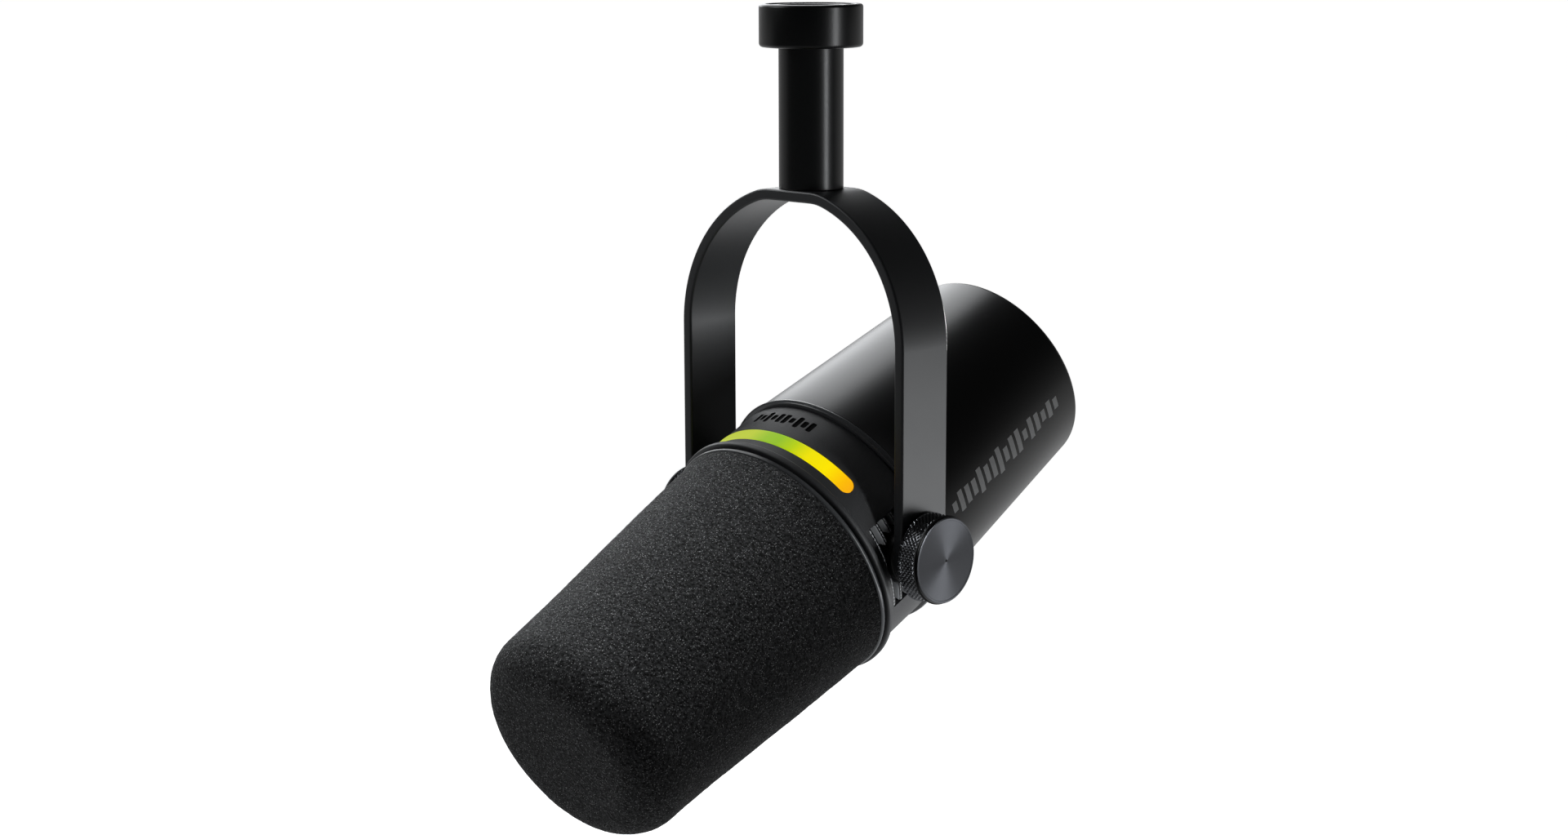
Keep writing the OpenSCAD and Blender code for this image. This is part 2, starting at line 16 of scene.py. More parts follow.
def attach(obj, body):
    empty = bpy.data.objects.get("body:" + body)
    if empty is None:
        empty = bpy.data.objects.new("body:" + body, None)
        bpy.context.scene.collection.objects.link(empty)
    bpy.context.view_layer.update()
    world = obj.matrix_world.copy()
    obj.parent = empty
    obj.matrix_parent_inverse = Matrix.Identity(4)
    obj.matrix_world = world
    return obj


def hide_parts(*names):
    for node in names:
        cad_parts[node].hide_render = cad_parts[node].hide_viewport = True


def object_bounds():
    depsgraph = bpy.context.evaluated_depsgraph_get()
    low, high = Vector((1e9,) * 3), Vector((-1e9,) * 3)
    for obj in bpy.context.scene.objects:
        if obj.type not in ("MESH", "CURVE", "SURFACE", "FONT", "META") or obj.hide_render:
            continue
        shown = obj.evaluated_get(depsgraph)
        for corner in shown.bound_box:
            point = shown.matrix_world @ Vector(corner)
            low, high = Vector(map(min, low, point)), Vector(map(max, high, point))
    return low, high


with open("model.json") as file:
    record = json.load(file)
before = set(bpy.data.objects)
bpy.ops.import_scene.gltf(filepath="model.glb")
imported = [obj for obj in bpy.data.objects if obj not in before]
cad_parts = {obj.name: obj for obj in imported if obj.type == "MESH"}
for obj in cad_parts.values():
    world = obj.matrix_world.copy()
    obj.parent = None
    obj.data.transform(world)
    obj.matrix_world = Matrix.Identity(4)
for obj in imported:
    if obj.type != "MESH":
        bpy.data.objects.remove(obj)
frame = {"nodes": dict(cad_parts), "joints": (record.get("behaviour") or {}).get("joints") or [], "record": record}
cad_low, cad_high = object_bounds()
MM = 0.001
print("CAD box in mm:", [round(v / MM, 1) for v in cad_high - cad_low])

# %% [markdown]
# ## The head's own axes
# The head hangs tilted, so its shells are drawn in the head's own axes: x to the right knob, y up,
# z forwards along the microphone, all in millimetres from the pivot. The two joints of the frame that
# turn and slide the head give those axes, so nothing is typed in twice.
# %% Axes of the head
joints = {joint["name"]: joint for joint in frame["joints"]}
side = Vector(joints["head_tilt"]["axis"])
nose = Vector(joints["windscreen_pull"]["axis"]).normalized()
pivot = Vector(joints["head_tilt"]["pos_m"])
up = nose.cross(side)
HEAD = Matrix.Translation(pivot) @ Matrix((side, up, nose)).transposed().to_4x4() @ Matrix.Scale(MM, 4)
ROW = Matrix.Scale(MM, 4)
tilt_down = math.degrees(math.asin(-nose.z))
print("the nose points", round(tilt_down, 1), "degrees down")


# %% [markdown]
# ## Reading sizes
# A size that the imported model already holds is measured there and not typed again. Three small readers give
# a node's points, its two ends and its radii, all in millimetres.
# %% Read sizes from the frame
def node_points(node, axes=HEAD):
    """The node's points in the given axes, in millimetres."""
    back = axes.inverted()
    return np.array([back @ v.co for v in frame["nodes"][node].data.vertices])


def stations(node, axes=HEAD):
    """Where the node begins and ends along its axis."""
    z = node_points(node, axes)[:, 2]
    return float(z.min()), float(z.max())


def radii(node, station=None, axes=HEAD, reach=0.05):
    """Smallest and largest radius of the node about its axis, all along it or near one station."""
    points = node_points(node, axes)
    if station is not None:
        points = points[abs(points[:, 2] - station) < reach]
    r = np.hypot(points[:, 0], points[:, 1])
    return float(r.min()), float(r.max())


barrel_rear, barrel_front = stations("barrel")
barrel_front_r = radii("barrel", barrel_front)[1]
print("barrel runs from", round(barrel_rear, 1), "to", round(barrel_front, 1), "mm")

# %% [markdown]
# ## Camera
# The microphone is seen from its front right and a little from above. A long lens from 0.6 m keeps the
# barrel's taper honest. The camera aims at a point just under the yoke's centre.
# %% Camera
CAMERA_AZIMUTH = math.radians(43.64)
CAMERA_ELEVATION = math.radians(11.06)
CAMERA_ROLL = math.radians(-0.18)
CAMERA_DISTANCE = 0.5981
AIM_FROM_PIVOT = Vector((2.36, -10.81, 29.23)) * MM

to_camera = Vector((
    math.sin(CAMERA_AZIMUTH) * math.cos(CAMERA_ELEVATION),
    -math.cos(CAMERA_AZIMUTH) * math.cos(CAMERA_ELEVATION),
    math.sin(CAMERA_ELEVATION),
))
camera_data = bpy.data.cameras.new("camera")
camera_data.sensor_width = 36
camera_data.lens = 59.11
camera_data.shift_x = -0.0020
camera_data.shift_y = 0.0007
camera_data.clip_start = 0.01
camera = bpy.data.objects.new("camera", camera_data)
camera.location = pivot + AIM_FROM_PIVOT + to_camera * CAMERA_DISTANCE
turn = (-to_camera).to_track_quat("-Z", "Y").to_matrix() @ Matrix.Rotation(CAMERA_ROLL, 3, "Z")
camera.rotation_euler = turn.to_euler()
bpy.context.scene.collection.objects.link(camera)
bpy.context.scene.camera = camera
print("camera at", [round(v, 3) for v in camera.location])

# %% [markdown]
# ## Nodes in one line
# Materials, the surroundings and Geometry Nodes are all node trees. One small helper adds a node, sets its
# options and fills its inputs, so each finish below reads as a short recipe.
# %% Node helper
def put(tree, kind, inputs=None, **options):
    """Adds a node; an input is a value or the output socket to link from."""
    node = tree.nodes.new(kind)
    for option, value in options.items():
        setattr(node, option, value)
    for key, value in (inputs or {}).items():
        if isinstance(value, bpy.types.NodeSocket):
            tree.links.new(value, node.inputs[key])
        else:
            node.inputs[key].default_value = value
    return node


def sums(tree):
    """A function that adds one sum to the tree and returns its result."""
    def sum_of(operation, *terms):
        return put(tree, "ShaderNodeMath", dict(enumerate(terms)), operation=operation).outputs[0]
    return sum_of


# %% [markdown]
# ## Stage
# A plain pale floor and soft studio light. The black shells live on what they mirror: a wide soft box at
# the upper left draws the light streak along the barrel, the pale floor draws the grey band under it, and a
# dark front keeps the middle black.
# %% Floor
FLOOR_DROP = 0.30
FLOOR_HALF = 30.0


def stage_floor():
    """A wide pale sheet below the object, which lights it more from behind than from in front."""
    mesh = bpy.data.meshes.new("floor")
    z = cad_low.z - FLOOR_DROP
    corners = [(-FLOOR_HALF, -FLOOR_HALF), (FLOOR_HALF, -FLOOR_HALF), (FLOOR_HALF, FLOOR_HALF),
               (-FLOOR_HALF, FLOOR_HALF)]
    mesh.from_pydata([(x, y, z) for x, y in corners], [], [(0, 1, 2, 3)])
    paint = bpy.data.materials.new("pale_floor")
    paint.use_nodes = True
    tree = paint.node_tree
    shader = tree.nodes["Principled BSDF"]
    shader.inputs["Base Color"].default_value = (0.85, 0.85, 0.85, 1)
    shader.inputs["Roughness"].default_value = 0.9
    shader.inputs["Emission Color"].default_value = (1, 1, 1, 1)
    m = sums(tree)
    place = put(tree, "ShaderNodeTexCoord").outputs["Object"]
    away = put(tree, "ShaderNodeVectorMath", {0: place, 1: (-to_camera.x, -to_camera.y, 0)},
               operation="DOT_PRODUCT").outputs["Value"]
    lit = put(tree, "ShaderNodeMapRange", {0: away, 1: -0.1, 2: 0.6, 3: 0.02, 4: 0.40},
              interpolation_type="SMOOTHSTEP").outputs[0]
    seen = put(tree, "ShaderNodeLightPath").outputs["Is Camera Ray"]
    tree.links.new(m("MAXIMUM", m("MULTIPLY", seen, 0.97), lit), shader.inputs["Emission Strength"])
    mesh.materials.append(paint)
    floor = bpy.data.objects.new("floor", mesh)
    bpy.context.scene.collection.objects.link(floor)
    return floor


print("floor at", round(stage_floor().data.vertices[0].co.z, 3))


# %% [markdown]
# ## Surroundings and lamps
# The world is a function of direction: pale behind the object and low down, dark elsewhere, so the shells
# mirror a quiet gradient. Area lamps do the rest. A big soft box draws the long streak, a strip draws the
# right rims, and small cards each lift one piece that would sink into black.
# %% Surroundings
def stage_world():
    """Pale behind the object and low down, dark above and in front."""
    world = bpy.data.worlds.new("studio")
    world.use_nodes = True
    tree = world.node_tree
    tree.nodes.clear()
    m = sums(tree)
    direction = put(tree, "ShaderNodeTexCoord").outputs["Generated"]
    split = put(tree, "ShaderNodeSeparateXYZ", {0: direction})
    behind = Vector((-to_camera.x, -to_camera.y)).normalized()
    along = m("ADD", m("MULTIPLY", split.outputs[0], behind.x), m("MULTIPLY", split.outputs[1], behind.y))
    backness = put(tree, "ShaderNodeMapRange", {0: along, 1: -0.1, 2: 0.7, 3: 0.0, 4: 1.0},
                   interpolation_type="SMOOTHSTEP").outputs[0]
    lowness = put(tree, "ShaderNodeMapRange", {0: split.outputs[2], 1: 0.10, 2: 0.45, 3: 1.0, 4: 0.0},
                  interpolation_type="SMOOTHSTEP").outputs[0]
    level = m("MULTIPLY_ADD", m("MULTIPLY", backness, lowness), 0.34, 0.03)
    seen = put(tree, "ShaderNodeLightPath").outputs["Is Camera Ray"]
    shown = put(tree, "ShaderNodeBackground", {0: (1, 1, 1, 1), 1: 1.0})
    felt = put(tree, "ShaderNodeBackground", {0: (1, 1, 1, 1), 1: level})
    both = put(tree, "ShaderNodeMixShader", {0: seen, 1: felt.outputs[0], 2: shown.outputs[0]})
    put(tree, "ShaderNodeOutputWorld", {0: both.outputs[0]})
    bpy.context.scene.world = world
    bpy.context.scene.view_settings.view_transform = "Standard"


LAMP_COLOR = (0.96, 0.98, 1.0)


def soft_box(name, direction, distance, size, power):
    """A rectangular lamp that faces the middle of the object: metres and watts."""
    lamp = bpy.data.lights.new(name, "AREA")
    lamp.shape = "RECTANGLE"
    lamp.size, lamp.size_y = size
    lamp.energy = power
    lamp.color = LAMP_COLOR
    obj = bpy.data.objects.new(name, lamp)
    away = Vector(direction).normalized()
    obj.location = (cad_low + cad_high) / 2 + away * distance
    obj.rotation_euler = (-away).to_track_quat("-Z", "Y").to_euler()
    obj.visible_camera = False
    bpy.context.scene.collection.objects.link(obj)
    return obj


# %% Lamps
stage_world()
soft_box("left_box", (-0.75, 0.38, 0.64), 0.9, (0.7, 0.95), 7.0)
soft_box("right_strip", (0.97, 0.16, -0.10), 0.9, (0.08, 0.8), 5.5)
soft_box("front_fill", (-0.60, -0.55, 0.58), 0.9, (0.5, 0.5), 3.0)
soft_box("foam_top", (0.05, 0.18, 0.98), 0.9, (0.5, 0.5), 8.0)
soft_box("low_card", (0.69, 0.66, -0.29), 0.42, (0.36, 0.14), 0.50)
soft_box("inner_card", (0.26, 0.94, 0.20), 0.0526, (0.014, 0.014), 0.034)
soft_box("shell_card", (0.80, 0.35, -0.50), 0.42, (0.30, 0.14), 0.60)
soft_box("rib_card", (0.90, -0.30, -0.20), 0.42, (0.14, 0.14), 1.60)

# %% [markdown]
# ## Finishes
# Every finish is a Principled shader with fine noise on its colour, roughness and bump. The noise reads
# Object coordinates, which are metres here, so a scale of 3000 gives grain of a third of a millimetre.
# Numbers that are the same everywhere sit on the shader's own sockets, where the export can read them.
# %% Base of every finish
def finish_base(name, color, roughness, metallic=0.0, grain=2500.0, tint=0.15, rough_spread=0.06, bump=0.02,
                depth=0.0002, **sockets):
    """A material with its colour, roughness and bump varied by one fine noise."""
    material = bpy.data.materials.new(name)
    material.use_nodes = True
    tree = material.node_tree
    shader = tree.nodes["Principled BSDF"]
    shader.inputs["Metallic"].default_value = metallic
    for socket, value in sockets.items():
        shader.inputs[socket.replace("_", " ")].default_value = value
    place = put(tree, "ShaderNodeTexCoord").outputs["Object"]
    fine = put(tree, "ShaderNodeTexNoise", {"Vector": place, "Scale": grain, "Detail": 3.0, "Roughness": 0.6})
    broad = put(tree, "ShaderNodeTexNoise", {"Vector": place, "Scale": grain / 40, "Detail": 2.0})
    m = sums(tree)
    low = tuple(c * (1 - tint) for c in color)
    high = tuple(c * (1 + tint) for c in color)
    ramp = put(tree, "ShaderNodeMix", {0: fine.outputs[0], 6: (*low, 1), 7: (*high, 1)}, data_type="RGBA")
    tree.links.new(ramp.outputs[2], shader.inputs["Base Color"])
    mixed = m("ADD", m("MULTIPLY", fine.outputs[0], 0.6), m("MULTIPLY", broad.outputs[0], 0.4))
    spread = m("MULTIPLY_ADD", m("SUBTRACT", mixed, 0.5), 2 * rough_spread, roughness)
    tree.links.new(spread, shader.inputs["Roughness"])
    raised = put(tree, "ShaderNodeBump", {"Strength": bump, "Distance": depth, "Height": fine.outputs[0]})
    tree.links.new(raised.outputs[0], shader.inputs["Normal"])
    return material


def brushed(name, color, roughness, stretch):
    """Metal with fine lines: the noise is squeezed across one direction."""
    material = finish_base(name, color, roughness, metallic=1.0, bump=0.05, grain=1500.0)
    tree = material.node_tree
    squeeze = put(tree, "ShaderNodeMapping", {"Scale": stretch})
    place = tree.nodes["Texture Coordinate"].outputs["Object"]
    tree.links.new(place, squeeze.inputs["Vector"])
    for noise in [n for n in tree.nodes if n.type == "TEX_NOISE"]:
        tree.links.new(squeeze.outputs[0], noise.inputs["Vector"])
    return material


# %% [markdown]
# ## One finish for each slot
# The record gives every node a material slot. The outer shells are all black and differ mostly in how they
# mirror: a satin coat, a paint, anodised metal, fine-grained plastic and a glossier trim.
# %% Finishes by the record's slots
finishes = {
    "satin_black": finish_base("satin_black", (0.0020, 0.0022, 0.0024), 0.30, bump=0.10, grain=2200.0,
                               depth=0.00008, Specular_IOR_Level=0.28),
    "yoke_paint": finish_base("yoke_paint", (0.0155, 0.0166, 0.0185), 0.40, bump=0.06, grain=3000.0,
                              depth=0.00006, Coat_Weight=0.15, Coat_Roughness=0.3),
    "barrel_aluminium": finish_base("barrel_aluminium", (0.004, 0.0043, 0.0047), 0.33, bump=0.03,
                                    grain=3500.0, depth=0.00005),
    "housing_plastic": finish_base("housing_plastic", (0.022, 0.0225, 0.024), 0.50, bump=0.35, grain=2600.0,
                                   depth=0.00012, rough_spread=0.12),
    "trim": finish_base("trim", (0.050, 0.052, 0.055), 0.26, bump=0.05, grain=2500.0, depth=0.00005),
    "circuit": finish_base("circuit", (0.010, 0.09, 0.045), 0.35, bump=0.2, grain=900.0),
    "led": finish_base("led", (0.85, 0.83, 0.62), 0.3),
    "steel": brushed("steel", (0.55, 0.55, 0.57), 0.28, (1, 1, 0.05)),
    "brass": brushed("brass", (0.62, 0.44, 0.18), 0.30, (1, 1, 0.08)),
    "rubber": finish_base("rubber", (0.015, 0.015, 0.015), 0.75, bump=0.4, grain=1800.0),
    "grille_metal": finish_base("grille_metal", (0.020, 0.020, 0.021), 0.42, bump=0.1, grain=2400.0),
    "magnet_alloy": finish_base("magnet_alloy", (0.62, 0.61, 0.60), 0.18, metallic=1.0, bump=0.05),
    "film": finish_base("film", (0.55, 0.44, 0.24), 0.22, tint=0.05, Coat_Weight=0.4),
    "copper": brushed("copper", (0.75, 0.33, 0.15), 0.32, (1, 1, 4)),
    "wire": finish_base("wire", (0.42, 0.03, 0.03), 0.42, bump=0.1),
    "chip": finish_base("chip", (0.018, 0.018, 0.020), 0.55, bump=0.25, grain=3200.0),
    "inner_plastic": finish_base("inner_plastic", (0.020, 0.020, 0.021), 0.48, bump=0.2, grain=2000.0),
}
print(len(finishes), "plain finishes")

# %% [markdown]
# ## The light strip's glow
# The strip is a diffusing lens lit from behind by a row of lamps that show the level: yellow-green and green
# at the quiet end, yellow, then orange at the loud end. The colour runs along the arc, so the node tree
# turns the place on the strip into an angle about the head's axis, and a colour ramp gives the glow.
# %% Glow of the strip
lens_rear, lens_front = stations("light_lens")
lens_in_r, lens_out_r = radii("light_lens")
lens_points = node_points("light_lens")
lens_reach = math.degrees(max(abs(math.atan2(p[0], p[1])) for p in lens_points))


def light_finish():
    """The lens's glow, coloured by the angle about the head's axis."""
    material = bpy.data.materials.new("light")
    material.use_nodes = True
    tree = material.node_tree
    m = sums(tree)
    shader = tree.nodes["Principled BSDF"]
    shader.inputs["Base Color"].default_value = (0.02, 0.02, 0.004, 1)
    shader.inputs["Roughness"].default_value = 0.45
    shader.inputs["Specular IOR Level"].default_value = 0.12
    shader.inputs["Emission Strength"].default_value = 1.0
    place = put(tree, "ShaderNodeTexCoord").outputs["Object"]
    across = put(tree, "ShaderNodeSeparateXYZ", {0: place}).outputs[0]
    angle = m("ARCSINE", m("DIVIDE", across, lens_out_r * MM))
    along = m("MULTIPLY_ADD", angle, 0.5 / math.radians(lens_reach), 0.5)
    ramp = put(tree, "ShaderNodeValToRGB", {0: along})
    stops = [(0.0, (0.50, 0.57, 0.050)), (0.44, (0.48, 0.58, 0.040)), (0.53, (0.29, 0.51, 0.020)),
             (0.60, (0.27, 0.51, 0.012)), (0.67, (0.44, 0.61, 0.001)), (0.76, (0.86, 0.76, 0.0)),
             (0.86, (0.98, 0.78, 0.0)), (0.95, (0.98, 0.50, 0.002)), (1.0, (0.96, 0.42, 0.006))]
    for position, color in stops[1:-1]:
        ramp.color_ramp.elements.new(position).color = (*color, 1)
    ramp.color_ramp.elements[0].color = (*stops[0][1], 1)
    ramp.color_ramp.elements[-1].color = (*stops[-1][1], 1)
    tree.links.new(ramp.outputs[0], shader.inputs["Emission Color"])
    return material


finishes["light"] = light_finish()
print("strip reaches", round(lens_reach, 1), "degrees each side")

# %% [markdown]
# ## The foam's finish
# Open-cell foam drinks the light: nearly black, rough, with cells of a third of a millimetre. Some of the
# cell walls face the light and sparkle; that sparkle is painted in: a Voronoi pattern picks cells at random
# and paints them pale as painted glints, and the same cells drive the bump.
# %% Foam
def foam_finish():
    """Dark clumps with pale specks of painted glint, and a bump made of both."""
    material = bpy.data.materials.new("foam")
    material.use_nodes = True
    tree = material.node_tree
    m = sums(tree)
    shader = tree.nodes["Principled BSDF"]
    shader.inputs["Roughness"].default_value = 0.85
    shader.inputs["Specular IOR Level"].default_value = 0.25
    place = put(tree, "ShaderNodeTexCoord").outputs["Object"]
    cells = put(tree, "ShaderNodeTexVoronoi", {"Vector": place, "Scale": 3000.0, "Randomness": 1.0})
    pick = put(tree, "ShaderNodeSeparateColor", {0: cells.outputs["Color"]}).outputs[0]
    core = put(tree, "ShaderNodeMapRange", {0: cells.outputs["Distance"], 1: 0.10, 2: 0.42, 3: 1.0, 4: 0.0})
    # painted glint: randomly picked cells are painted pale to stand in for cell walls catching the light
    painted_glint = m("MULTIPLY", m("POWER", pick, 3.0), core.outputs[0])
    noise = put(tree, "ShaderNodeTexNoise", {"Vector": place, "Scale": 1500.0, "Detail": 3.0})
    clumps = put(tree, "ShaderNodeMapRange", {0: noise.outputs[0], 1: 0.36, 2: 0.64})
    body = put(tree, "ShaderNodeMix", {0: clumps.outputs[0], 6: (0.0008, 0.0008, 0.0008, 1),
                                       7: (0.040, 0.041, 0.042, 1)}, data_type="RGBA")
    shown = put(tree, "ShaderNodeMix", {0: painted_glint, 6: body.outputs[2], 7: (0.66, 0.67, 0.67, 1)},
                data_type="RGBA")
    tree.links.new(shown.outputs[2], shader.inputs["Base Color"])
    relief = m("ADD", m("MULTIPLY", core.outputs[0], 0.5), clumps.outputs[0])
    bump = put(tree, "ShaderNodeBump", {"Strength": 0.9, "Distance": 0.0003, "Height": relief})
    tree.links.new(bump.outputs[0], shader.inputs["Normal"])
    return material


finishes["foam"] = foam_finish()

# %% [markdown]
# ## The knob's turned face
# A face turned on a lathe is a spiral of fine grooves, so it glints in cones from the centre. The shader's
# anisotropy follows the piece's own UV map, whose first axis runs round the knob, and a wave in the
# distance from the axis raises the grooves.
# %% Turned metal
GROOVE_PITCH = 0.22


def knob_finish():
    """Turned metal whose grooves are circles about the pivot's line."""
    material = bpy.data.materials.new("knob_metal")
    material.use_nodes = True
    tree = material.node_tree
    m = sums(tree)
    shader = tree.nodes["Principled BSDF"]
    shader.inputs["Metallic"].default_value = 1.0
    shader.inputs["Anisotropic"].default_value = 0.75
    shader.inputs["Base Color"].default_value = (0.19, 0.196, 0.212, 1)
    shader.inputs["Roughness"].default_value = 0.34
    centre = put(tree, "ShaderNodeMapping", {"Location": tuple(-pivot), "Scale": (0, 1, 1)})
    tree.links.new(put(tree, "ShaderNodeTexCoord").outputs["Object"], centre.inputs["Vector"])
    radius = put(tree, "ShaderNodeVectorMath", {0: centre.outputs[0]}, operation="LENGTH").outputs["Value"]
    groove = m("SINE", m("MULTIPLY", radius, 2 * math.pi / (GROOVE_PITCH * MM)))
    wander = put(tree, "ShaderNodeTexNoise", {"Vector": put(
        tree, "ShaderNodeCombineXYZ", {0: m("MULTIPLY", radius, 2500.0)}).outputs[0], "Detail": 2.0})
    height = m("ADD", m("MULTIPLY", groove, 0.4), wander.outputs[0])
    bump = put(tree, "ShaderNodeBump", {"Strength": 0.10, "Distance": 0.00005, "Height": height})
    tree.links.new(bump.outputs[0], shader.inputs["Normal"])
    along = put(tree, "ShaderNodeTangent", direction_type="UV_MAP", uv_map="turned")
    tree.links.new(along.outputs[0], shader.inputs["Tangent"])
    return material


finishes["knob_metal"] = knob_finish()
finishes["knurl"] = finish_base("knurl", (0.15, 0.154, 0.163), 0.14, metallic=1.0, bump=0.03)
finishes["mark"] = finish_base("mark", (0.74, 0.745, 0.75), 0.60, bump=0.1, grain=3000.0)
finishes["recess"] = finish_base("recess", (0.002, 0.002, 0.002), 0.9, bump=0.05, Specular_IOR_Level=0.1)
# painted highlight: the ribs' colour is much paler than the housing's black to stand in for the light they catch
# in the arm's shade
finishes["ribs"] = finish_base("ribs", (0.20, 0.205, 0.21), 0.30, bump=0.05)

# %% [markdown]
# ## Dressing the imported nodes
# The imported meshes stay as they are; each only gets the finish of its slot. The shells made below replace
# the outer ones, and most of the inside keeps its own mesh.
# %% Dress the CAD nodes
slot_of = {part["node"]: part["material_slot"] for part in frame["record"]["subparts"]}
for node, obj in frame["nodes"].items():
    finish = finishes[slot_of[node]]
    if not obj.material_slots:
        obj.data.materials.append(finish)
    for slot in obj.material_slots:
        slot.material = finish
print("dressed", len(frame["nodes"]), "CAD nodes")

# %% [markdown]
# ## Pieces turned from an outline
# The collar, stem, barrel, rings and knobs are all lathe work: an outline of radius and station, turned
# about an axis. `rounded` puts an arc on each corner that needs one, because real edges are never sharp and
# it is the rounded edge that catches the thin line of light.
# %% Outline and lathe
def rounded(corners, steps=5):
    """A closed outline from corners of (radius, station, fillet)."""
    outline = []
    for i, (r, z, fillet) in enumerate(corners):
        here = Vector((r, z))
        to_last = Vector(corners[i - 1][:2]) - here
        to_next = Vector(corners[(i + 1) % len(corners)][:2]) - here
        if not fillet:
            outline.append(tuple(here))
            continue
        half = to_last.angle(to_next) / 2
        reach = min(fillet / math.tan(half), 0.49 * to_last.length, 0.49 * to_next.length)
        radius = reach * math.tan(half)
        inward = (to_last.normalized() + to_next.normalized()).normalized()
        centre = here + inward * radius / math.sin(half)
        start = here + to_last.normalized() * reach - centre
        end = here + to_next.normalized() * reach - centre
        sweep = -start.angle_signed(end)
        for k in range(steps + 1):
            outline.append(tuple(centre + Matrix.Rotation(sweep * k / steps, 2) @ start))
    return outline


def to_object(name, mesh, finish, body, axes=HEAD, replaces=(), sharp=35):
    """Puts a mesh in the scene as a finished piece that rides on a body."""
    work = bmesh.new()
    work.from_mesh(mesh)
    bmesh.ops.remove_doubles(work, verts=work.verts, dist=1e-4)
    work.transform(axes)
    bmesh.ops.recalc_face_normals(work, faces=work.faces)
    work.to_mesh(mesh)
    work.free()
    mesh.shade_smooth()
    mesh.set_sharp_from_angle(angle=math.radians(sharp))
    mesh.materials.clear()
    mesh.materials.append(finishes[finish])
    obj = bpy.data.objects.new(name, mesh)
    bpy.context.scene.collection.objects.link(obj)
    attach(obj, body)
    if replaces:
        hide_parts(*replaces)
    print(f"{name}: {len(mesh.polygons)} faces")
    return obj


def lathe(name, outline, around=192, closed=True):
    """Turns an outline of (radius, station) about the axis; a closed outline joins its ends."""
    verts, rings = [], []
    angles = np.arange(around) * 2 * math.pi / around
    for r, z in outline:
        if r < 1e-6:
            rings.append([len(verts)] * around)
            verts.append((0, 0, z))
        else:
            rings.append(list(range(len(verts), len(verts) + around)))
            verts += [(r * math.cos(a), r * math.sin(a), z) for a in angles]
    faces = []
    pairs = list(zip(rings, rings[1:] + rings[:1]))
    for low, high in pairs if closed else pairs[:-1]:
        for i in range(around):
            j = (i + 1) % around
            corner = dict.fromkeys([low[i], low[j], high[j], high[i]])
            if len(corner) > 2:
                faces.append(tuple(corner))
    mesh = bpy.data.meshes.new(name)
    mesh.from_pydata(verts, [], faces)
    return mesh


# %% [markdown]
# ## Collar and stem
# The collar is a cup that turns freely on the stem's flange and carries the stand thread. Both are steel
# with a satin black coat. Small fillets at the collar's rims catch the light.
# %% Collar and stem
COLLAR_LIP = 1.5
FLANGE_THICK = 0.9
SCREW_DEPTH = 14


def make_collar():
    low, high = stations("swivel_collar", ROW)
    hole = radii("swivel_collar", low, ROW)[0]
    outer = radii("swivel_collar", None, ROW)[1]
    bore = radii("swivel_collar", high, ROW)[0]
    lip = low + COLLAR_LIP
    outline = rounded([(hole, low, 0.2), (outer, low, 0.9), (outer, high, 0.7), (bore, high, 0.35),
                       (bore, lip, 0), (hole, lip, 0)])
    to_object("collar_shell", lathe("collar_shell", outline), "satin_black", "collar", ROW,
              ["swivel_collar"])


def make_stem():
    low, high = stations("stem", ROW)
    hole, stem_r = radii("stem", low, ROW)
    flange_r = radii("stem", high, ROW)[1]
    under = high - FLANGE_THICK
    outline = rounded([(hole, low, 0), (stem_r, low, 0.25), (stem_r, under, 0.3), (flange_r, under, 0.1),
                       (flange_r, high, 0.1), (0, high, 0), (0, low + SCREW_DEPTH, 0),
                       (hole, low + SCREW_DEPTH, 0)])
    to_object("stem_tube", lathe("stem_tube", outline, 160), "satin_black", "yoke", ROW, ["stem"])


make_collar()
make_stem()

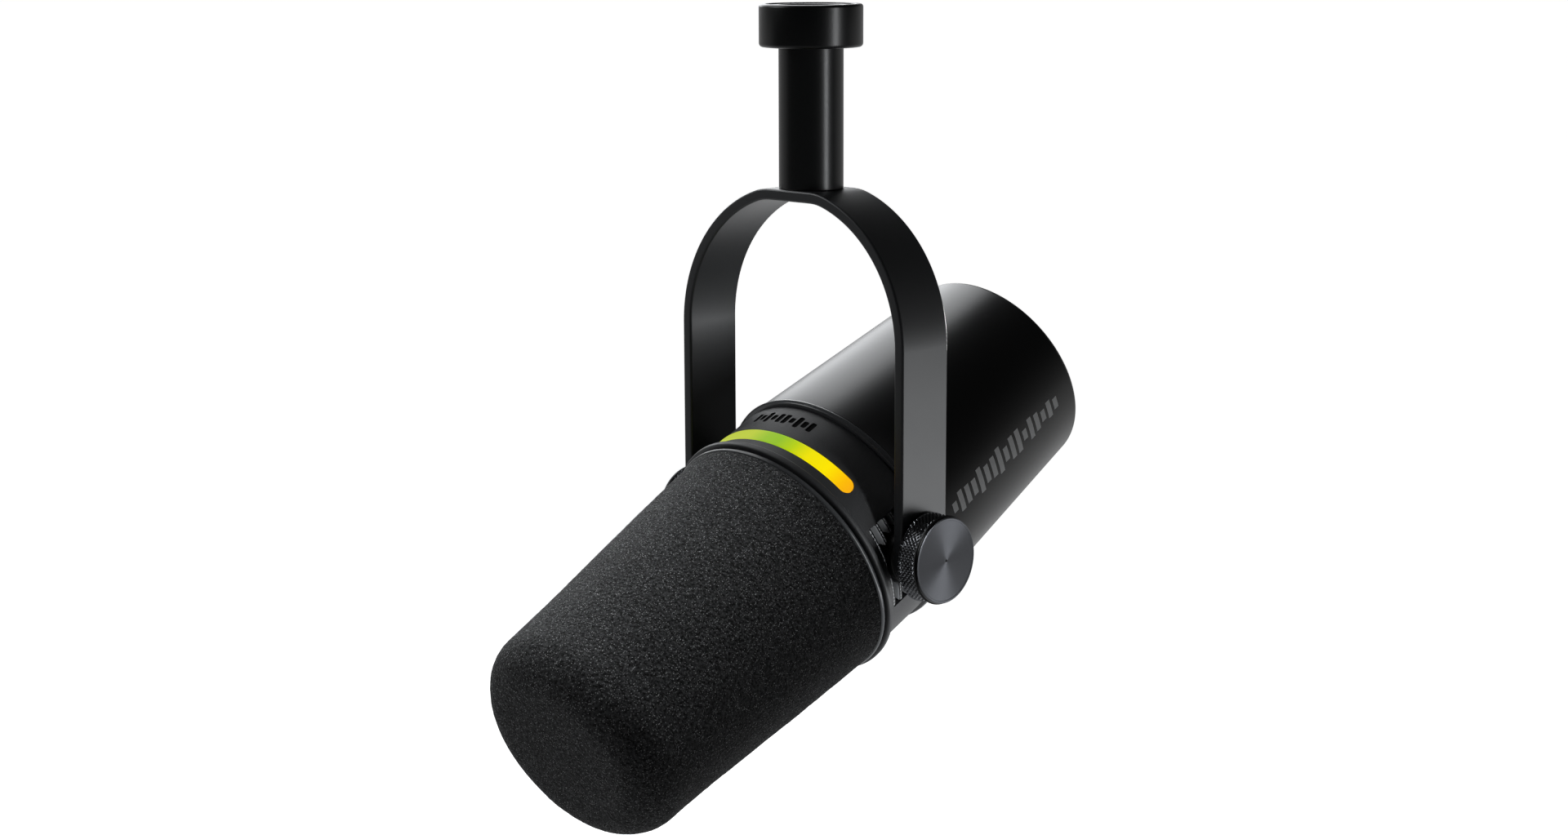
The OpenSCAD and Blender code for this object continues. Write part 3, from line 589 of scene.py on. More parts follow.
# %% [markdown]
# ## Repeats by Geometry Nodes
# Threads, ribs, knurls and bars all follow a rule, so each is grown by a Geometry Nodes tree with its own
# named inputs. `Recipe` starts such a tree, and `bake` runs it once on a base mesh and keeps the result as a
# plain mesh.
# %% Geometry Nodes helper
class Recipe:
    """A Geometry Nodes tree with named inputs: Recipe("ribs", count=6, pitch=2.0)."""

    def __init__(self, name, **inputs):
        self.tree = bpy.data.node_groups.new(name, "GeometryNodeTree")
        self.values = {}
        self.tree.interface.new_socket("Geometry", in_out="INPUT", socket_type="NodeSocketGeometry")
        self.tree.interface.new_socket("Geometry", in_out="OUTPUT", socket_type="NodeSocketGeometry")
        for key, value in inputs.items():
            kind = "NodeSocketInt" if isinstance(value, int) else "NodeSocketFloat"
            socket = self.tree.interface.new_socket(key, in_out="INPUT", socket_type=kind)
            self.values[socket.identifier] = value
        self.given = put(self.tree, "NodeGroupInput").outputs
        self.math = sums(self.tree)

    def node(self, kind, inputs=None, **options):
        return put(self.tree, kind, inputs, **options)

    def combine(self, x=0.0, y=0.0, z=0.0):
        return self.node("ShaderNodeCombineXYZ", {0: x, 1: y, 2: z}).outputs[0]

    def place(self):
        """The position of each point, split in x, y and z."""
        position = self.node("GeometryNodeInputPosition")
        return self.node("ShaderNodeSeparateXYZ", {0: position.outputs[0]}).outputs

    def from_axis(self, x, y):
        """How far each point lies from the z axis."""
        m = self.math
        return m("SQRT", m("ADD", m("POWER", x, 2.0), m("POWER", y, 2.0)))

    def moved(self, geometry, position):
        """The geometry with each point put at a new position."""
        return self.node("GeometryNodeSetPosition", {0: geometry, "Position": position}).outputs[0]

    def wrapped(self, geometry, radius, angle, along):
        """The geometry with each point put on a cylinder: radius, angle and station."""
        m = self.math
        x = m("MULTIPLY", radius, m("COSINE", angle))
        y = m("MULTIPLY", radius, m("SINE", angle))
        return self.moved(geometry, self.combine(x, y, along))

    def bake(self, geometry, finish, base=None):
        """Ends the tree, runs it on a base mesh and returns the mesh it makes."""
        real = self.node("GeometryNodeRealizeInstances", {0: geometry})
        painted = self.node("GeometryNodeSetMaterial", {0: real.outputs[0], "Material": finishes[finish]})
        put(self.tree, "NodeGroupOutput", {0: painted.outputs[0]})
        name = self.tree.name
        carrier = bpy.data.objects.new(name, base or bpy.data.meshes.new(name + "_base"))
        bpy.context.scene.collection.objects.link(carrier)
        modifier = carrier.modifiers.new(name, "NODES")
        modifier.node_group = self.tree
        for identifier, value in self.values.items():
            modifier[identifier] = value
        ready = carrier.evaluated_get(bpy.context.evaluated_depsgraph_get())
        mesh = bpy.data.meshes.new_from_object(ready)
        bpy.data.objects.remove(carrier)
        return mesh


# %% [markdown]
# ## Stand thread
# The insert is a blackened tube cut with the stand thread. Twenty-seven turns to the inch give a pitch of
# 0.94 mm. The tube is a fine grid wrapped to a cylinder; each point is pushed out by how far it lies from
# the helix's crest, which leaves a true single-start groove.
# %% Thread insert
THREAD_PITCH = 25.4 / 27


def make_thread():
    low, high = stations("thread_insert", ROW)
    minor, outer = radii("thread_insert", None, ROW)
    around, along = 144, 64
    bore = Recipe("stand_thread", pitch=THREAD_PITCH, minor=minor, depth=0.5, outer=outer - 0.01)
    x, y, z = bore.place()
    m, given = bore.math, bore.given
    angle = m("ARCTAN2", y, x)
    turns = m("ADD", m("DIVIDE", z, given["pitch"]), m("DIVIDE", angle, 2 * math.pi))
    crest = m("PINGPONG", turns, 0.5)
    groove = m("MULTIPLY", m("MINIMUM", m("MULTIPLY", crest, 2.6), 1.0), given["depth"])
    inside = m("LESS_THAN", bore.from_axis(x, y), m("ADD", given["minor"], 0.4))
    thread_r = m("ADD", given["minor"], groove)
    outside_r = m("MULTIPLY", m("SUBTRACT", 1.0, inside), given["outer"])
    radius = m("ADD", m("MULTIPLY", inside, thread_r), outside_r)
    outline = [(minor, low + (high - low) * i / along) for i in range(along + 1)]
    outline += [(outer, high - 0.02), (outer, low)]
    tube = lathe("stand_thread", outline, around)
    mesh = bore.bake(bore.wrapped(bore.given["Geometry"], radius, angle, z), "satin_black", tube)
    to_object("stand_thread", mesh, "satin_black", "collar", ROW, ["thread_insert"], sharp=50)


make_thread()


# %% [markdown]
# ## Yoke
# A yoke like this is a strip of steel: blanked flat with round ends, drilled for the pivots and the stem
# screw, deburred, then bent over a round former. The piece is made the same way: a flat curve with holes,
# thickened and bevelled, is laid along the bent centre line point by point.
# %% Flat blank
def hole(x, radius, count=72):
    """A round hole: a ring of points that runs the opposite way to the outline."""
    step = -2 * math.pi / count
    return [(x + radius * math.cos(k * step), radius * math.sin(k * step)) for k in range(count)]


def blank_mesh(outlines, thickness, bevel):
    """A flat plate from closed outlines, with its edges rounded."""
    curve = bpy.data.curves.new("blank", "CURVE")
    curve.dimensions = "2D"
    curve.fill_mode = "BOTH"
    curve.extrude = thickness / 2 - bevel
    curve.bevel_depth = bevel
    curve.bevel_resolution = 3
    curve.offset = -bevel
    for outline in outlines:
        spline = curve.splines.new("POLY")
        spline.points.add(len(outline) - 1)
        for point, (x, y) in zip(spline.points, outline):
            point.co = (x, y, 0, 1)
        spline.use_cyclic_u = True
    obj = bpy.data.objects.new("blank", curve)
    bpy.context.scene.collection.objects.link(obj)
    ready = obj.evaluated_get(bpy.context.evaluated_depsgraph_get())
    mesh = bpy.data.meshes.new_from_object(ready)
    bpy.data.objects.remove(obj)
    return mesh


# %% Bent strap
PIVOT_HOLE_R = 5.56
STRAP_EDGE = 0.5


def make_yoke():
    """Bends the blank: each point goes to its distance along the centre line, leaned by the line's slope."""
    points = node_points("yoke", ROW)
    x, z = abs(points[:, 0]), points[:, 2]
    arm_out, crown, half_w = float(x.max()), float(z.max()), float(points[:, 1].max())
    arch = float(z[x > arm_out - 0.02].max())
    strap = arm_out - float(x[z < arch - 1].min())
    r, middle = arm_out - strap / 2, crown - strap / 2
    bend = math.asin((middle - arch) / r)
    flat, arc = r * math.cos(bend), r * bend
    reach = flat + arc + arch - pivot.z / MM
    screw_hole = radii("yoke", crown - strap, ROW)[0]
    soft, tick, slice_gap = 3.0, 0.02, 0.6
    half = [(reach + half_w * math.cos(a), half_w * math.sin(a))
            for a in np.linspace(-math.pi / 2, math.pi / 2, 49)]
    outline = half + [(-px, -py) for px, py in half]
    mesh = blank_mesh([outline, hole(reach, PIVOT_HOLE_R), hole(-reach, PIVOT_HOLE_R),
                       hole(0, screw_hole)], strap, STRAP_EDGE)
    steps = np.arange(0, reach + 2 * half_w, tick)
    ease = np.clip((steps - flat + soft) / (2 * soft), 0, 1)
    ease = ease * ease * (3 - 2 * ease)
    fall = np.clip(bend - (steps - flat) / r, 0, None)
    slope = (1 - ease) * math.pi / 2 + ease * fall
    line_x = np.concatenate([[0], np.cumsum(np.sin(slope[:-1]) * tick)])
    line_z = np.concatenate([[0], -np.cumsum(np.cos(slope[:-1]) * tick)])
    leg = np.searchsorted(steps, reach)
    line_x *= r / line_x[leg]
    line_z *= (middle - pivot.z / MM) / -line_z[leg]
    cut = bmesh.new()
    cut.from_mesh(mesh)
    bmesh.ops.remove_doubles(cut, verts=cut.verts, dist=1e-4)
    for at in np.arange(flat - soft, flat + arc + slice_gap, slice_gap):
        for sign in (1, -1):
            everything = cut.verts[:] + cut.edges[:] + cut.faces[:]
            bmesh.ops.bisect_plane(cut, geom=everything, plane_co=(sign * at, 0, 0), plane_no=(1, 0, 0),
                                   dist=1e-5)
    for v in cut.verts:
        t, sign = abs(v.co.x), math.copysign(1, v.co.x)
        lean = float(np.interp(t, steps, slope))
        px = float(np.interp(t, steps, line_x)) + v.co.z * math.cos(lean)
        pz = middle + float(np.interp(t, steps, line_z)) + v.co.z * math.sin(lean)
        v.co = (sign * px, v.co.y, pz)
    cut.to_mesh(mesh)
    cut.free()
    strap_obj = to_object("yoke_strap", mesh, "yoke_paint", "yoke", ROW, ["yoke"], sharp=40)
    even = strap_obj.modifiers.new("even", "WEIGHTED_NORMAL")
    even.keep_sharp = True
    even.weight = 80
    return strap_obj


make_yoke()

# %% [markdown]
# ## Barrel
# The barrel is a turned aluminium tube with a slight taper, anodised black. A soft rounding ends it at the
# back, and a thin rounded edge at the front shows as a pale line where it meets the trim ring.
# %% Barrel
BARREL_WALL = 1.6
BARREL_REAR_R = 26.2
REAR_HOLE_R = 23.0
PANEL_DEPTH = 2.6


def barrel_radius(station):
    """Outer radius of the barrel at a station."""
    return BARREL_REAR_R + (barrel_front_r - BARREL_REAR_R) * (station - barrel_rear) / (
        barrel_front - barrel_rear)


def make_barrel():
    panel = barrel_rear + PANEL_DEPTH
    inner_rear = barrel_radius(panel) - BARREL_WALL
    outline = rounded([
        (REAR_HOLE_R, barrel_rear, 0.2), (BARREL_REAR_R, barrel_rear, 1.5),
        (barrel_front_r, barrel_front, 0.35), (barrel_front_r - BARREL_WALL, barrel_front, 0),
        (inner_rear, panel, 0), (REAR_HOLE_R, panel, 0)], steps=8)
    to_object("barrel_tube", lathe("barrel_tube", outline, 384), "barrel_aluminium", "head", HEAD,
              ["barrel"], sharp=50)


make_barrel()

# %% [markdown]
# ## Side mark
# The barrel's right side carries a printed mark: here a plain sound wave, a row of bars with changing
# height. Geometry Nodes sets one bar on each point of a line and wraps the row on the taper.
# %% Sound wave bars
def make_mark():
    bars = Recipe("side_mark", count=17, start=-64.5, pitch=2.85, tallest=3.5, lift=0.02)
    m, given = bars.math, bars.given
    line = bars.node("GeometryNodeMeshLine", {"Count": given["count"]}, mode="OFFSET")
    line.inputs["Offset"].default_value = (0, 0, 0)
    index = bars.node("GeometryNodeInputIndex").outputs[0]
    station = m("MULTIPLY_ADD", index, given["pitch"], given["start"])
    beat = m("ABSOLUTE", m("SINE", m("MULTIPLY_ADD", index, 1.13, 0.6)))
    envelope = m("SINE", m("DIVIDE", m("MULTIPLY_ADD", index, 0.92 * math.pi, 0.3), given["count"]))
    size = m("MULTIPLY", m("MULTIPLY_ADD", beat, 0.60, 0.40), m("MULTIPLY_ADD", envelope, 0.45, 0.55))
    height = m("MULTIPLY", size, m("MULTIPLY", given["tallest"], 2.0))
    spots = bars.moved(line.outputs[0], bars.combine(0.0, 0.0, station))
    bar = bars.node("GeometryNodeMeshGrid", {0: 1.0, 1: 1.0, 2: 15, 3: 9})
    x, y, z = bars.place()
    slim = m("MULTIPLY", m("SIGN", y), m("MINIMUM", m("ABSOLUTE", y), 0.5))
    shaped = bars.moved(bar.outputs[0], bars.combine(m("MULTIPLY", x, 1.8), slim, 0.0))
    placed = bars.node("GeometryNodeInstanceOnPoints", {0: spots, "Instance": shaped})
    stretch = bars.combine(1.0, height, 1.0)
    tall = bars.node("GeometryNodeScaleInstances", {0: placed.outputs[0], "Scale": stretch})
    real = bars.node("GeometryNodeRealizeInstances", {0: tall.outputs[0]}).outputs[0]
    x, y, z = bars.place()
    along = m("ADD", z, x)
    taper = (barrel_front_r - BARREL_REAR_R) / (barrel_front - barrel_rear)
    skin = m("MULTIPLY_ADD", m("SUBTRACT", along, barrel_rear), taper, BARREL_REAR_R)
    radius = m("ADD", skin, given["lift"])
    angle = m("DIVIDE", y, radius)
    mesh = bars.bake(bars.wrapped(real, radius, angle, along), "mark")
    to_object("side_mark", mesh, "mark", "head", HEAD)


make_mark()

# %% [markdown]
# ## Front housing
# The housing is a moulded plastic ring with a soft shoulder towards the barrel and a flange towards the
# windscreen. It is turned first; then the lens slot, the side windows, the pivot holes and the small level
# bars are cut with exact Booleans. The cutters are plates bent round the head's axis.
# %% Bent plates
def bent_plate(r_in, r_out, low, high, middle, half, rounding=0.0, steps=64, across=12, edge=0.0):
    """A plate bent round the head's axis: angles in degrees from x, with round ends and a soft edge."""
    mid_r = (r_in + r_out) / 2
    half_w = (high - low) / 2
    length = math.radians(half) * mid_r
    turn = min(rounding, half_w)
    loop = []
    for cx, cz, start in ((length - turn, half_w - turn, 0), (-length + turn, half_w - turn, 90),
                          (-length + turn, -half_w + turn, 180), (length - turn, -half_w + turn, 270)):
        for k in range(across + 1 if turn else 1):
            a = math.radians(start + 90 * k / across) if turn else 0
            loop.append((cx + turn * math.cos(a) if turn else cx, cz + turn * math.sin(a) if turn else cz))
    blank = blank_mesh([loop], r_out - r_in, max(edge, 0.0))
    work = bmesh.new()
    work.from_mesh(blank)
    bmesh.ops.remove_doubles(work, verts=work.verts, dist=1e-4)
    for at in np.linspace(-length, length, steps + 1)[1:-1]:
        bmesh.ops.bisect_plane(work, geom=work.verts[:] + work.edges[:] + work.faces[:],
                               plane_co=(at, 0, 0), plane_no=(1, 0, 0), dist=1e-5)
    for v in work.verts:
        angle = math.radians(middle) + v.co.x / mid_r
        radius = mid_r + v.co.z
        v.co = (radius * math.cos(angle), radius * math.sin(angle), (low + high) / 2 + v.co.y)
    bmesh.ops.recalc_face_normals(work, faces=work.faces)
    work.to_mesh(blank)
    work.free()
    return blank


def cutter(mesh):
    """A mesh put in the scene for a while, to cut or to be cut."""
    obj = bpy.data.objects.new("cutter", mesh)
    bpy.context.scene.collection.objects.link(obj)
    return obj


def carve(target, cutters):
    """Cuts each cutter out of the target mesh with an exact Boolean and removes the cutters."""
    body = cutter(target)
    for tool in cutters:
        cut = body.modifiers.new("cut", "BOOLEAN")
        cut.operation = "DIFFERENCE"
        cut.solver = "EXACT"
        cut.object = tool
    ready = body.evaluated_get(bpy.context.evaluated_depsgraph_get())
    mesh = bpy.data.meshes.new_from_object(ready)
    for tool in cutters + [body]:
        bpy.data.objects.remove(tool)
    return mesh


def side_rod(radius, sign, depth=(20, 40), count=96):
    """A plain rod along x, used only as a cutter."""
    start, end = depth
    verts = [(sign * x, radius * math.cos(a), radius * math.sin(a))
             for x in (start, end) for a in np.arange(count) * 2 * math.pi / count]
    faces = [tuple(range(count)), tuple(range(2 * count - 1, count - 1, -1))]
    faces += [(i, i + count, (i + 1) % count + count, (i + 1) % count) for i in range(count)]
    mesh = bpy.data.meshes.new("rod")
    mesh.from_pydata(verts, [], faces)
    work = bmesh.new()
    work.from_mesh(mesh)
    bmesh.ops.recalc_face_normals(work, faces=work.faces)
    work.to_mesh(mesh)
    work.free()
    return mesh


# %% Housing shell
HOUSING_R, HOUSING_BORE_R = 30.3, 28.1
HOUSING_REAR, HOUSING_FRONT = -8.0, 9.9
SPIGOT_R, SPIGOT_BORE_R, SPIGOT_REAR = 28.3, 26.3, -15.0
FLANGE_R, FLANGE_BORE_R, FLANGE_FRONT = 31.9, 27.4, 11.4
BULKHEAD_BORE_R, BULKHEAD_THICK = 21.0, 2.2
BUSH_WINDOW_R = 7.3
LENS_GAP = 0.12
VENT_LOW, VENT_HIGH, VENT_HALF = -6.2, 7.6, 21.0
LEVEL_MIDDLE = -3.0
LEVEL_BARS = [(90 + 3.6 * (4.5 - k), 2.0 * (0.30 + 0.70 * abs(math.sin(1.9 * k + 0.9)))) for k in range(10)]


def level_bars(r_in, r_out):
    """The row of small level bars as bent plates between two radii."""
    return [bent_plate(r_in, r_out, LEVEL_MIDDLE - reach, LEVEL_MIDDLE + reach, middle, 1.35, rounding=0.5,
                       steps=4, across=6) for middle, reach in LEVEL_BARS]


def make_housing():
    bulkhead = HOUSING_FRONT - BULKHEAD_THICK
    outline = rounded([
        (SPIGOT_R, SPIGOT_REAR, 0.3), (SPIGOT_R, HOUSING_REAR, 0), (HOUSING_R - 0.1, HOUSING_REAR, 0.7),
        (HOUSING_R, HOUSING_FRONT, 0.5), (FLANGE_R, HOUSING_FRONT, 0.35), (FLANGE_R, FLANGE_FRONT, 0.45),
        (FLANGE_BORE_R, FLANGE_FRONT, 0), (FLANGE_BORE_R, HOUSING_FRONT, 0),
        (BULKHEAD_BORE_R, HOUSING_FRONT, 0), (BULKHEAD_BORE_R, bulkhead, 0), (HOUSING_BORE_R, bulkhead, 0),
        (HOUSING_BORE_R, HOUSING_REAR, 0), (SPIGOT_BORE_R, HOUSING_REAR, 0),
        (SPIGOT_BORE_R, SPIGOT_REAR, 0.3)])
    shell = lathe("housing_shell", outline, 384)
    cutters = [cutter(bent_plate(26.5, 33.5, lens_rear - LENS_GAP, lens_front + LENS_GAP, 90,
                                 lens_reach * 1.004, rounding=2.12))]
    for middle in (0, 180):
        cutters.append(cutter(bent_plate(27.0, 33.5, VENT_LOW, VENT_HIGH, middle, VENT_HALF,
                                         rounding=0.6)))
    cutters += [cutter(side_rod(BUSH_WINDOW_R, sign)) for sign in (1, -1)]
    cutters += [cutter(bar) for bar in level_bars(HOUSING_R - 0.35, HOUSING_R + 1.5)]
    to_object("housing_shell", carve(shell, cutters), "housing_plastic", "head", HEAD, ["front_housing"],
              sharp=40)


make_housing()


# %% [markdown]
# The small bars on top are a moulded level sign, sunk a third of a millimetre and filled with black ink.
# %% Ink in the level bars
def join(meshes):
    """One mesh from several."""
    work = bmesh.new()
    for mesh in meshes:
        work.from_mesh(mesh)
    whole = bpy.data.meshes.new("joined")
    work.to_mesh(whole)
    work.free()
    return whole


level_ink = join(level_bars(HOUSING_R - 0.45, HOUSING_R - 0.30))
to_object("level_ink", level_ink, "recess", "head", HEAD)

# %% [markdown]
# ## Light strip
# The lens is a moulded bar of milky plastic with round ends, bent to the housing's curve and softened at
# its edges, so it stands a hair proud of the slot.
# %% Lens
lens_bar = bent_plate(lens_in_r, lens_out_r - 0.01, lens_rear, lens_front, 90, lens_reach, rounding=2.0,
                      steps=96, edge=0.3)
to_object("lens_bar", lens_bar, "light", "head", HEAD, ["light_lens"], sharp=60)

# %% [markdown]
# ## Vents
# Behind each arm the housing opens in a ribbed grating. Geometry Nodes copies one rounded rib at an even
# pitch and wraps the row on the housing's curve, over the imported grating, which keeps its own mesh.
# %% Ribs
RIB_COUNT = 6
RIB_ROOT_R = 27.6


def make_vent(node, middle):
    ribs = Recipe(node + "_ribs", count=RIB_COUNT, low=VENT_LOW + 0.05,
                  pitch=(VENT_HIGH - VENT_LOW - 0.9) / (RIB_COUNT - 1), width=0.86,
                  half=math.radians(VENT_HALF - 0.5), inner=RIB_ROOT_R, outer=HOUSING_R - 0.2)
    m, given = ribs.math, ribs.given
    line = ribs.node("GeometryNodeMeshLine", {"Count": given["count"]}, mode="OFFSET")
    index = ribs.node("GeometryNodeInputIndex").outputs[0]
    spots = ribs.moved(line.outputs[0], ribs.combine(0.0, 0.0, m("MULTIPLY", index, given["pitch"])))
    rib = ribs.node("GeometryNodeMeshCube", {"Size": (1, 1, 1)})
    for axis, count in (("X", 6), ("Y", 65), ("Z", 7)):
        rib.inputs["Vertices " + axis].default_value = count
    x, y, z = ribs.place()
    crown = m("SUBTRACT", 1.0, m("MULTIPLY", m("POWER", m("MULTIPLY", m("ABSOLUTE", z), 2.0), 4.0), 0.10))
    depth = m("MULTIPLY", m("ADD", x, 0.5), crown)
    across = m("ADD", m("MULTIPLY", z, given["width"]), m("MULTIPLY", given["width"], 0.5))
    shaped = ribs.moved(rib.outputs[0], ribs.combine(depth, y, across))
    placed = ribs.node("GeometryNodeInstanceOnPoints", {0: spots, "Instance": shaped})
    real = ribs.node("GeometryNodeRealizeInstances", {0: placed.outputs[0]}).outputs[0]
    x, y, z = ribs.place()
    radius = m("MULTIPLY_ADD", x, m("SUBTRACT", given["outer"], given["inner"]), given["inner"])
    angle = m("ADD", m("MULTIPLY", m("MULTIPLY", y, 2.0), given["half"]), math.radians(middle))
    mesh = ribs.bake(ribs.wrapped(real, radius, angle, m("ADD", z, given["low"])), "ribs")
    ribs_cut = carve(mesh, [cutter(side_rod(BUSH_WINDOW_R, 1 if middle == 0 else -1))])
    to_object(node + "_ribs", ribs_cut, "ribs", "head", HEAD, sharp=40)


make_vent("right_vent", 0)
make_vent("left_vent", 180)


# %% [markdown]
# ## Pivot bushes
# Each pivot turns on a bush screwed into the chassis: a foot, a shoulder that fills the round window in the
# housing and carries the washer, and a nose that runs in the arm's hole. It is turned brass with a black
# coat.
# %% Bushes
STUD_HOLE_R = 3.0
BUSH_FOOT_R, BUSH_SHOULDER_R, BUSH_NOSE_R = 6.5, 7.2, 5.5
BUSH_FOOT_END, BUSH_SHOULDER_END = 27.0, 31.6


def along_x(sign):
    """Axes of a piece that is turned about the pivot's line, pointing out to one side."""
    return HEAD @ Matrix(((0, 0, sign, 0), (0, 1, 0, 0), (-sign, 0, 0, 0), (0, 0, 0, 1)))


def make_bush(node, sign):
    x = abs(node_points(node)[:, 0])
    inner, outer = float(x.min()), float(x.max())
    outline = rounded([
        (STUD_HOLE_R, inner, 0.1), (BUSH_FOOT_R, inner, 0.3), (BUSH_FOOT_R, BUSH_FOOT_END, 0),
        (BUSH_SHOULDER_R, BUSH_FOOT_END, 0.2), (BUSH_SHOULDER_R, BUSH_SHOULDER_END, 0.35),
        (BUSH_NOSE_R, BUSH_SHOULDER_END, 0), (BUSH_NOSE_R, outer, 0.3), (STUD_HOLE_R, outer, 0.1)])
    to_object(node + "_body", lathe(node, outline, 96), "satin_black", "head", along_x(sign), [node])


make_bush("right_pivot_bush", 1)
make_bush("left_pivot_bush", -1)

# %% [markdown]
# ## Windscreen ring and trim ring
# Two thin turned rings: one seals the barrel to the housing, the other is moulded to the foam and snaps on
# the housing's flange. Their thin rounded rims are what separates the dark shells.
# %% Rings
RING_BORE_R, TRIM_BORE_R = 27.8, 28.35
ring_low, ring_high = stations("windscreen_ring")
ring_outline = rounded([(RING_BORE_R, ring_low, 0), (31.15, ring_low, 0.4), (31.2, ring_high, 0.5),
                        (RING_BORE_R, ring_high, 0)])
to_object("windscreen_band", lathe("windscreen_band", ring_outline, 256), "trim", "windscreen", HEAD,
          ["windscreen_ring"])
trim_low, trim_high = stations("barrel_trim_ring")
trim_outline = rounded([(TRIM_BORE_R, trim_low, 0), (31.1, trim_low, 0.25), (31.2, trim_low + 0.5, 0.2),
                        (31.0, trim_high, 0.4), (TRIM_BORE_R, trim_high, 0)])
to_object("trim_band", lathe("trim_band", trim_outline, 256), "trim", "head", HEAD, ["barrel_trim_ring"])

# %% [markdown]
# ## Foam windscreen
# The windscreen is a cup of open-cell foam, cut and ground to shape, so its surface is never quite even.
# A dense turned skin is roughened by Geometry Nodes: each point moves along its normal by two seeded
# noises, one of the cells' size and one much broader for the hand-cut look.
# %% Foam cup
FOAM_BASE_R = 30.8
FOAM_DROP = 4.3
FOAM_ROUND = 10.0
HOLLOW_END = 76.4
HOLLOW_BASE_R, HOLLOW_TIP_R = 25.2, 18.1


def foam_radius(u):
    """The foam's radius at a share of its length: the taper steepens to the middle and eases to the nose."""
    return FOAM_BASE_R - FOAM_DROP * (u + 1.25 * u ** 3 * (1 - u))


def make_foam():
    low, high = stations("foam_windscreen")
    total = high - low
    grain = 0.42
    straight = total - FOAM_ROUND
    outer = [(foam_radius(z / total), low + z) for z in np.arange(0, straight, grain)]
    tip = foam_radius(straight / total) - FOAM_ROUND
    bend_steps = int(FOAM_ROUND * math.pi / 2 / grain)
    outer += [(tip + FOAM_ROUND * math.cos(a), high - FOAM_ROUND * (1 - math.sin(a)))
              for a in np.linspace(0, math.pi / 2, bend_steps)]
    outer += [(r, high) for r in np.arange(tip - grain, grain, -grain)] + [(0, high)]
    hollow = [(0, HOLLOW_END), (HOLLOW_TIP_R, HOLLOW_END), (HOLLOW_TIP_R + 2.9, HOLLOW_END - 2.9),
              (HOLLOW_BASE_R, low)]
    mesh = lathe("foam_skin", outer + hollow, 440)
    skin = Recipe("foam_grain", cells=0.16, waves=0.22, seed=4.0)
    m, given = skin.math, skin.given
    position = skin.node("GeometryNodeInputPosition").outputs[0]
    normal = skin.node("GeometryNodeInputNormal").outputs[0]
    fine = skin.node("ShaderNodeTexNoise", {"Vector": position, "W": given["seed"], "Scale": 1.35,
                                            "Detail": 2.0, "Roughness": 0.7}, noise_dimensions="4D")
    broad = skin.node("ShaderNodeTexNoise", {"Vector": position, "W": given["seed"], "Scale": 0.11,
                                             "Detail": 2.0}, noise_dimensions="4D")
    x, y, z = skin.place()
    radius = skin.from_axis(x, y)
    outside = m("MAXIMUM", m("GREATER_THAN", radius, m("MULTIPLY_ADD", z, -0.09, 27.6)),
                m("GREATER_THAN", z, high - 3.5))
    free = m("MULTIPLY", outside, skin.node("ShaderNodeMapRange", {0: z, 1: low, 2: low + 1.5}).outputs[0])
    push = m("ADD", m("MULTIPLY", m("SUBTRACT", fine.outputs[0], 0.5), m("MULTIPLY", given["cells"], 2.0)),
             m("MULTIPLY", m("SUBTRACT", broad.outputs[0], 0.5), m("MULTIPLY", given["waves"], 2.0)))
    offset = skin.node("ShaderNodeVectorMath", {0: normal, "Scale": m("MULTIPLY", push, free)},
                       operation="SCALE").outputs[0]
    moved = skin.node("GeometryNodeSetPosition", {0: given["Geometry"], "Offset": offset}).outputs[0]
    foam = to_object("foam_cup", skin.bake(moved, "foam", mesh), "foam", "windscreen", HEAD,
                     ["foam_windscreen"], sharp=180)


make_foam()

# %% [markdown]
# ## Clamp knobs
# Each knob is a turned aluminium disc with a diamond knurl rolled into its rim, a thin black bevel and a
# spun face. The disc is turned with a dense rim; Geometry Nodes presses the knurl in: two families of
# grooves wind round the rim in opposite senses, and a point sinks by its distance from the nearest crest.
# %% Knobs
KNOB_BACK, KNOB_FACE, KNOB_R = 35.9, 41.9, 10.3
KNURL_LOW, KNURL_HIGH = KNOB_BACK + 0.35, KNOB_FACE - 1.05


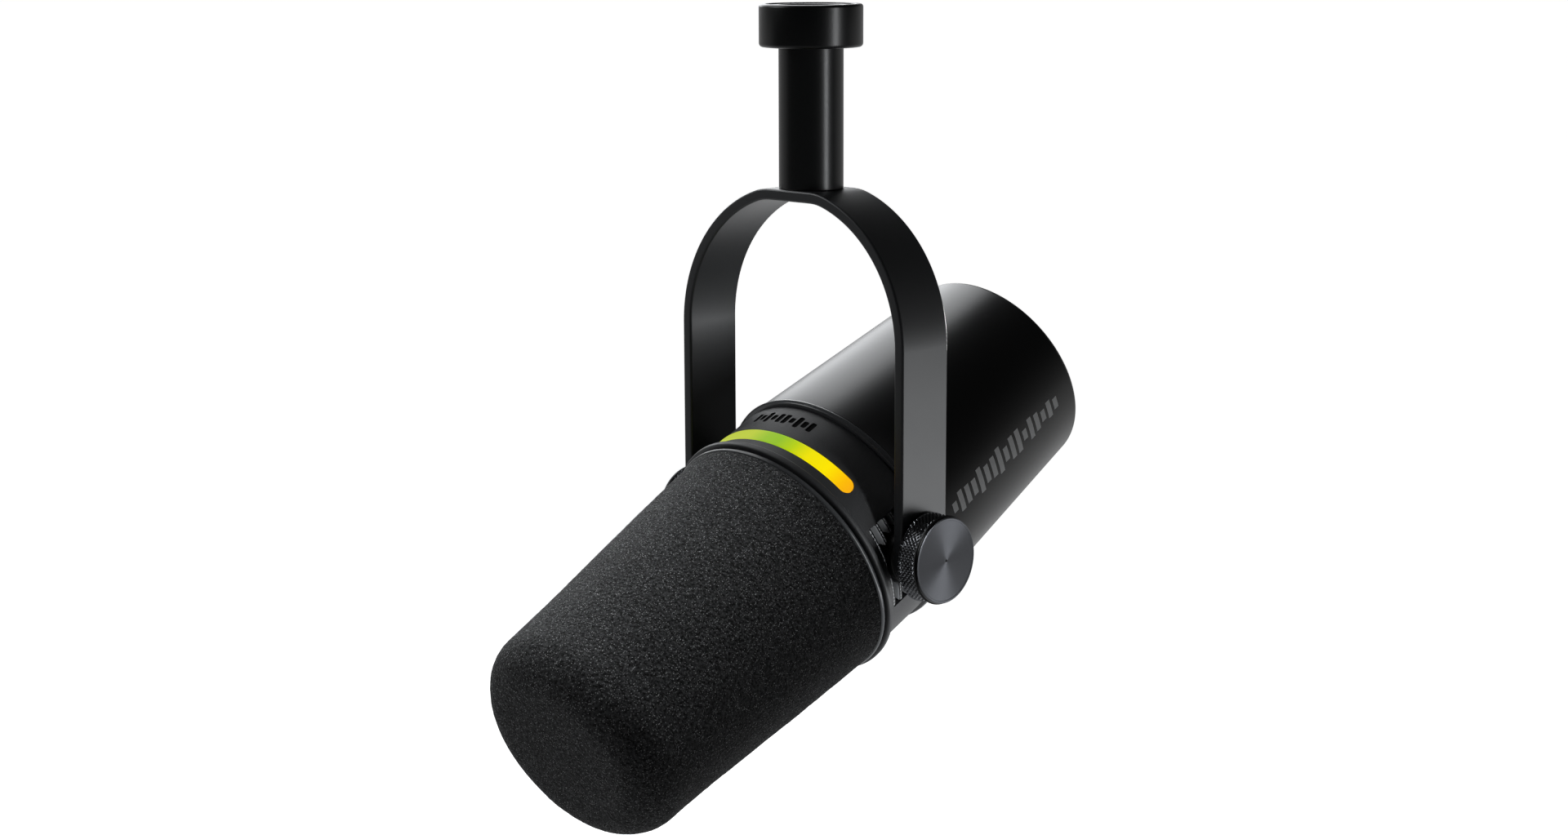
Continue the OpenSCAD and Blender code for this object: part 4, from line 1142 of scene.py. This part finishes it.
def make_knob(name, sign):
    rim = [(KNOB_R, z) for z in np.linspace(KNURL_LOW, KNURL_HIGH, 40)]
    outline = [(STUD_HOLE_R, KNOB_BACK), (KNOB_R - 0.45, KNOB_BACK), (KNOB_R - 0.12, KNOB_BACK + 0.12)]
    outline += rim + [(KNOB_R - 0.35, KNOB_FACE - 0.85)]
    outline += [(KNOB_R - 0.28, KNOB_FACE - 0.62), (KNOB_R - 0.30, KNOB_FACE - 0.30),
                (KNOB_R - 0.38, KNOB_FACE - 0.12), (KNOB_R - 0.60, KNOB_FACE), (KNOB_R - 0.95, KNOB_FACE)]
    outline += [(r, KNOB_FACE - 0.06) for r in np.linspace(KNOB_R - 1.02, 0.75, 24)]
    outline += [(0.35, KNOB_FACE - 0.07), (0.12, KNOB_FACE - 0.14), (0, KNOB_FACE - 0.16)]
    outline += [(0, KNOB_FACE - 3), (STUD_HOLE_R, KNOB_FACE - 3)]
    disc = lathe(name, outline, 512)
    knurl = Recipe(name + "_knurl", teeth=56, rows=4.4, depth=0.42, low=KNURL_LOW, high=KNURL_HIGH)
    m, given = knurl.math, knurl.given
    x, y, z = knurl.place()
    radius = knurl.from_axis(x, y)
    turns = m("MULTIPLY", m("DIVIDE", m("ARCTAN2", y, x), 2 * math.pi), given["teeth"])
    rim_width = m("SUBTRACT", given["high"], given["low"])
    level = m("MULTIPLY", m("DIVIDE", m("SUBTRACT", z, given["low"]), rim_width), given["rows"])
    one = m("MULTIPLY", m("PINGPONG", m("ADD", turns, level), 0.5), 2.0)
    two = m("MULTIPLY", m("PINGPONG", m("SUBTRACT", turns, level), 0.5), 2.0)
    on_rim = m("MULTIPLY", m("GREATER_THAN", radius, KNOB_R - 0.02),
               m("MULTIPLY", m("GREATER_THAN", z, given["low"]), m("LESS_THAN", z, given["high"])))
    sunk = m("MULTIPLY", m("SUBTRACT", 1.0, m("MINIMUM", one, two)), m("MULTIPLY", given["depth"], on_rim))
    shrink = m("DIVIDE", m("SUBTRACT", radius, sunk), m("MAXIMUM", radius, 0.001))
    pressed = knurl.combine(m("MULTIPLY", x, shrink), m("MULTIPLY", y, shrink), z)
    mesh = knurl.bake(knurl.moved(given["Geometry"], pressed), "knurl", disc)
    turned_map = mesh.uv_layers.new(name="turned")
    for face in mesh.polygons:
        middle = math.atan2(face.center.y, face.center.x)
        for loop in face.loop_indices:
            co = mesh.vertices[mesh.loops[loop].vertex_index].co
            angle = math.atan2(co.y, co.x)
            angle += 2 * math.pi * round((middle - angle) / (2 * math.pi))
            turned_map.data[loop].uv = (angle, math.hypot(co.x, co.y) / KNOB_R)
    body = name.replace("_shell", "")
    obj = to_object(name, mesh, "knurl", body, along_x(sign), [body], sharp=25)
    obj.data.materials.append(finishes["knob_metal"])
    obj.data.materials.append(finishes["satin_black"])
    inward = HEAD.inverted()
    for face in obj.data.polygons:
        out = abs((inward @ face.center).x)
        if out > KNOB_FACE - 0.10:
            face.material_index = 1
        elif out > KNURL_HIGH or out < KNOB_BACK + 0.3:
            face.material_index = 2
    return obj


make_knob("right_knob_shell", 1)
make_knob("left_knob_shell", -1)

# %% [markdown]
# ## Which lamp lights what
# In a studio, flags keep a lamp off the pieces that should stay dark. Here each small card is linked to the
# pieces that it is meant for: the low card draws the yoke's grey faces but stays off the barrel and foam.
# %% Flags
def lights_only(lamp, names):
    """Keeps a lamp off every piece but the named ones."""
    group = bpy.data.collections.new(lamp + "_receivers")
    for name in names:
        group.objects.link(bpy.data.objects[name])
    bpy.data.objects[lamp].light_linking.receiver_collection = group


knob_names = ["right_knob_shell", "left_knob_shell"]
shell_names = ["housing_shell", "windscreen_band", "trim_band", "right_vent_ribs", "left_vent_ribs"]
lights_only("low_card", ["yoke_strap"] + shell_names)
lights_only("foam_top", ["foam_cup"])
lights_only("shell_card", shell_names)
lights_only("inner_card", ["yoke_strap"])
lights_only("rib_card", ["right_vent_ribs", "left_vent_ribs"])
lights_only("right_strip", ["collar_shell", "stem_tube"] + knob_names + shell_names)
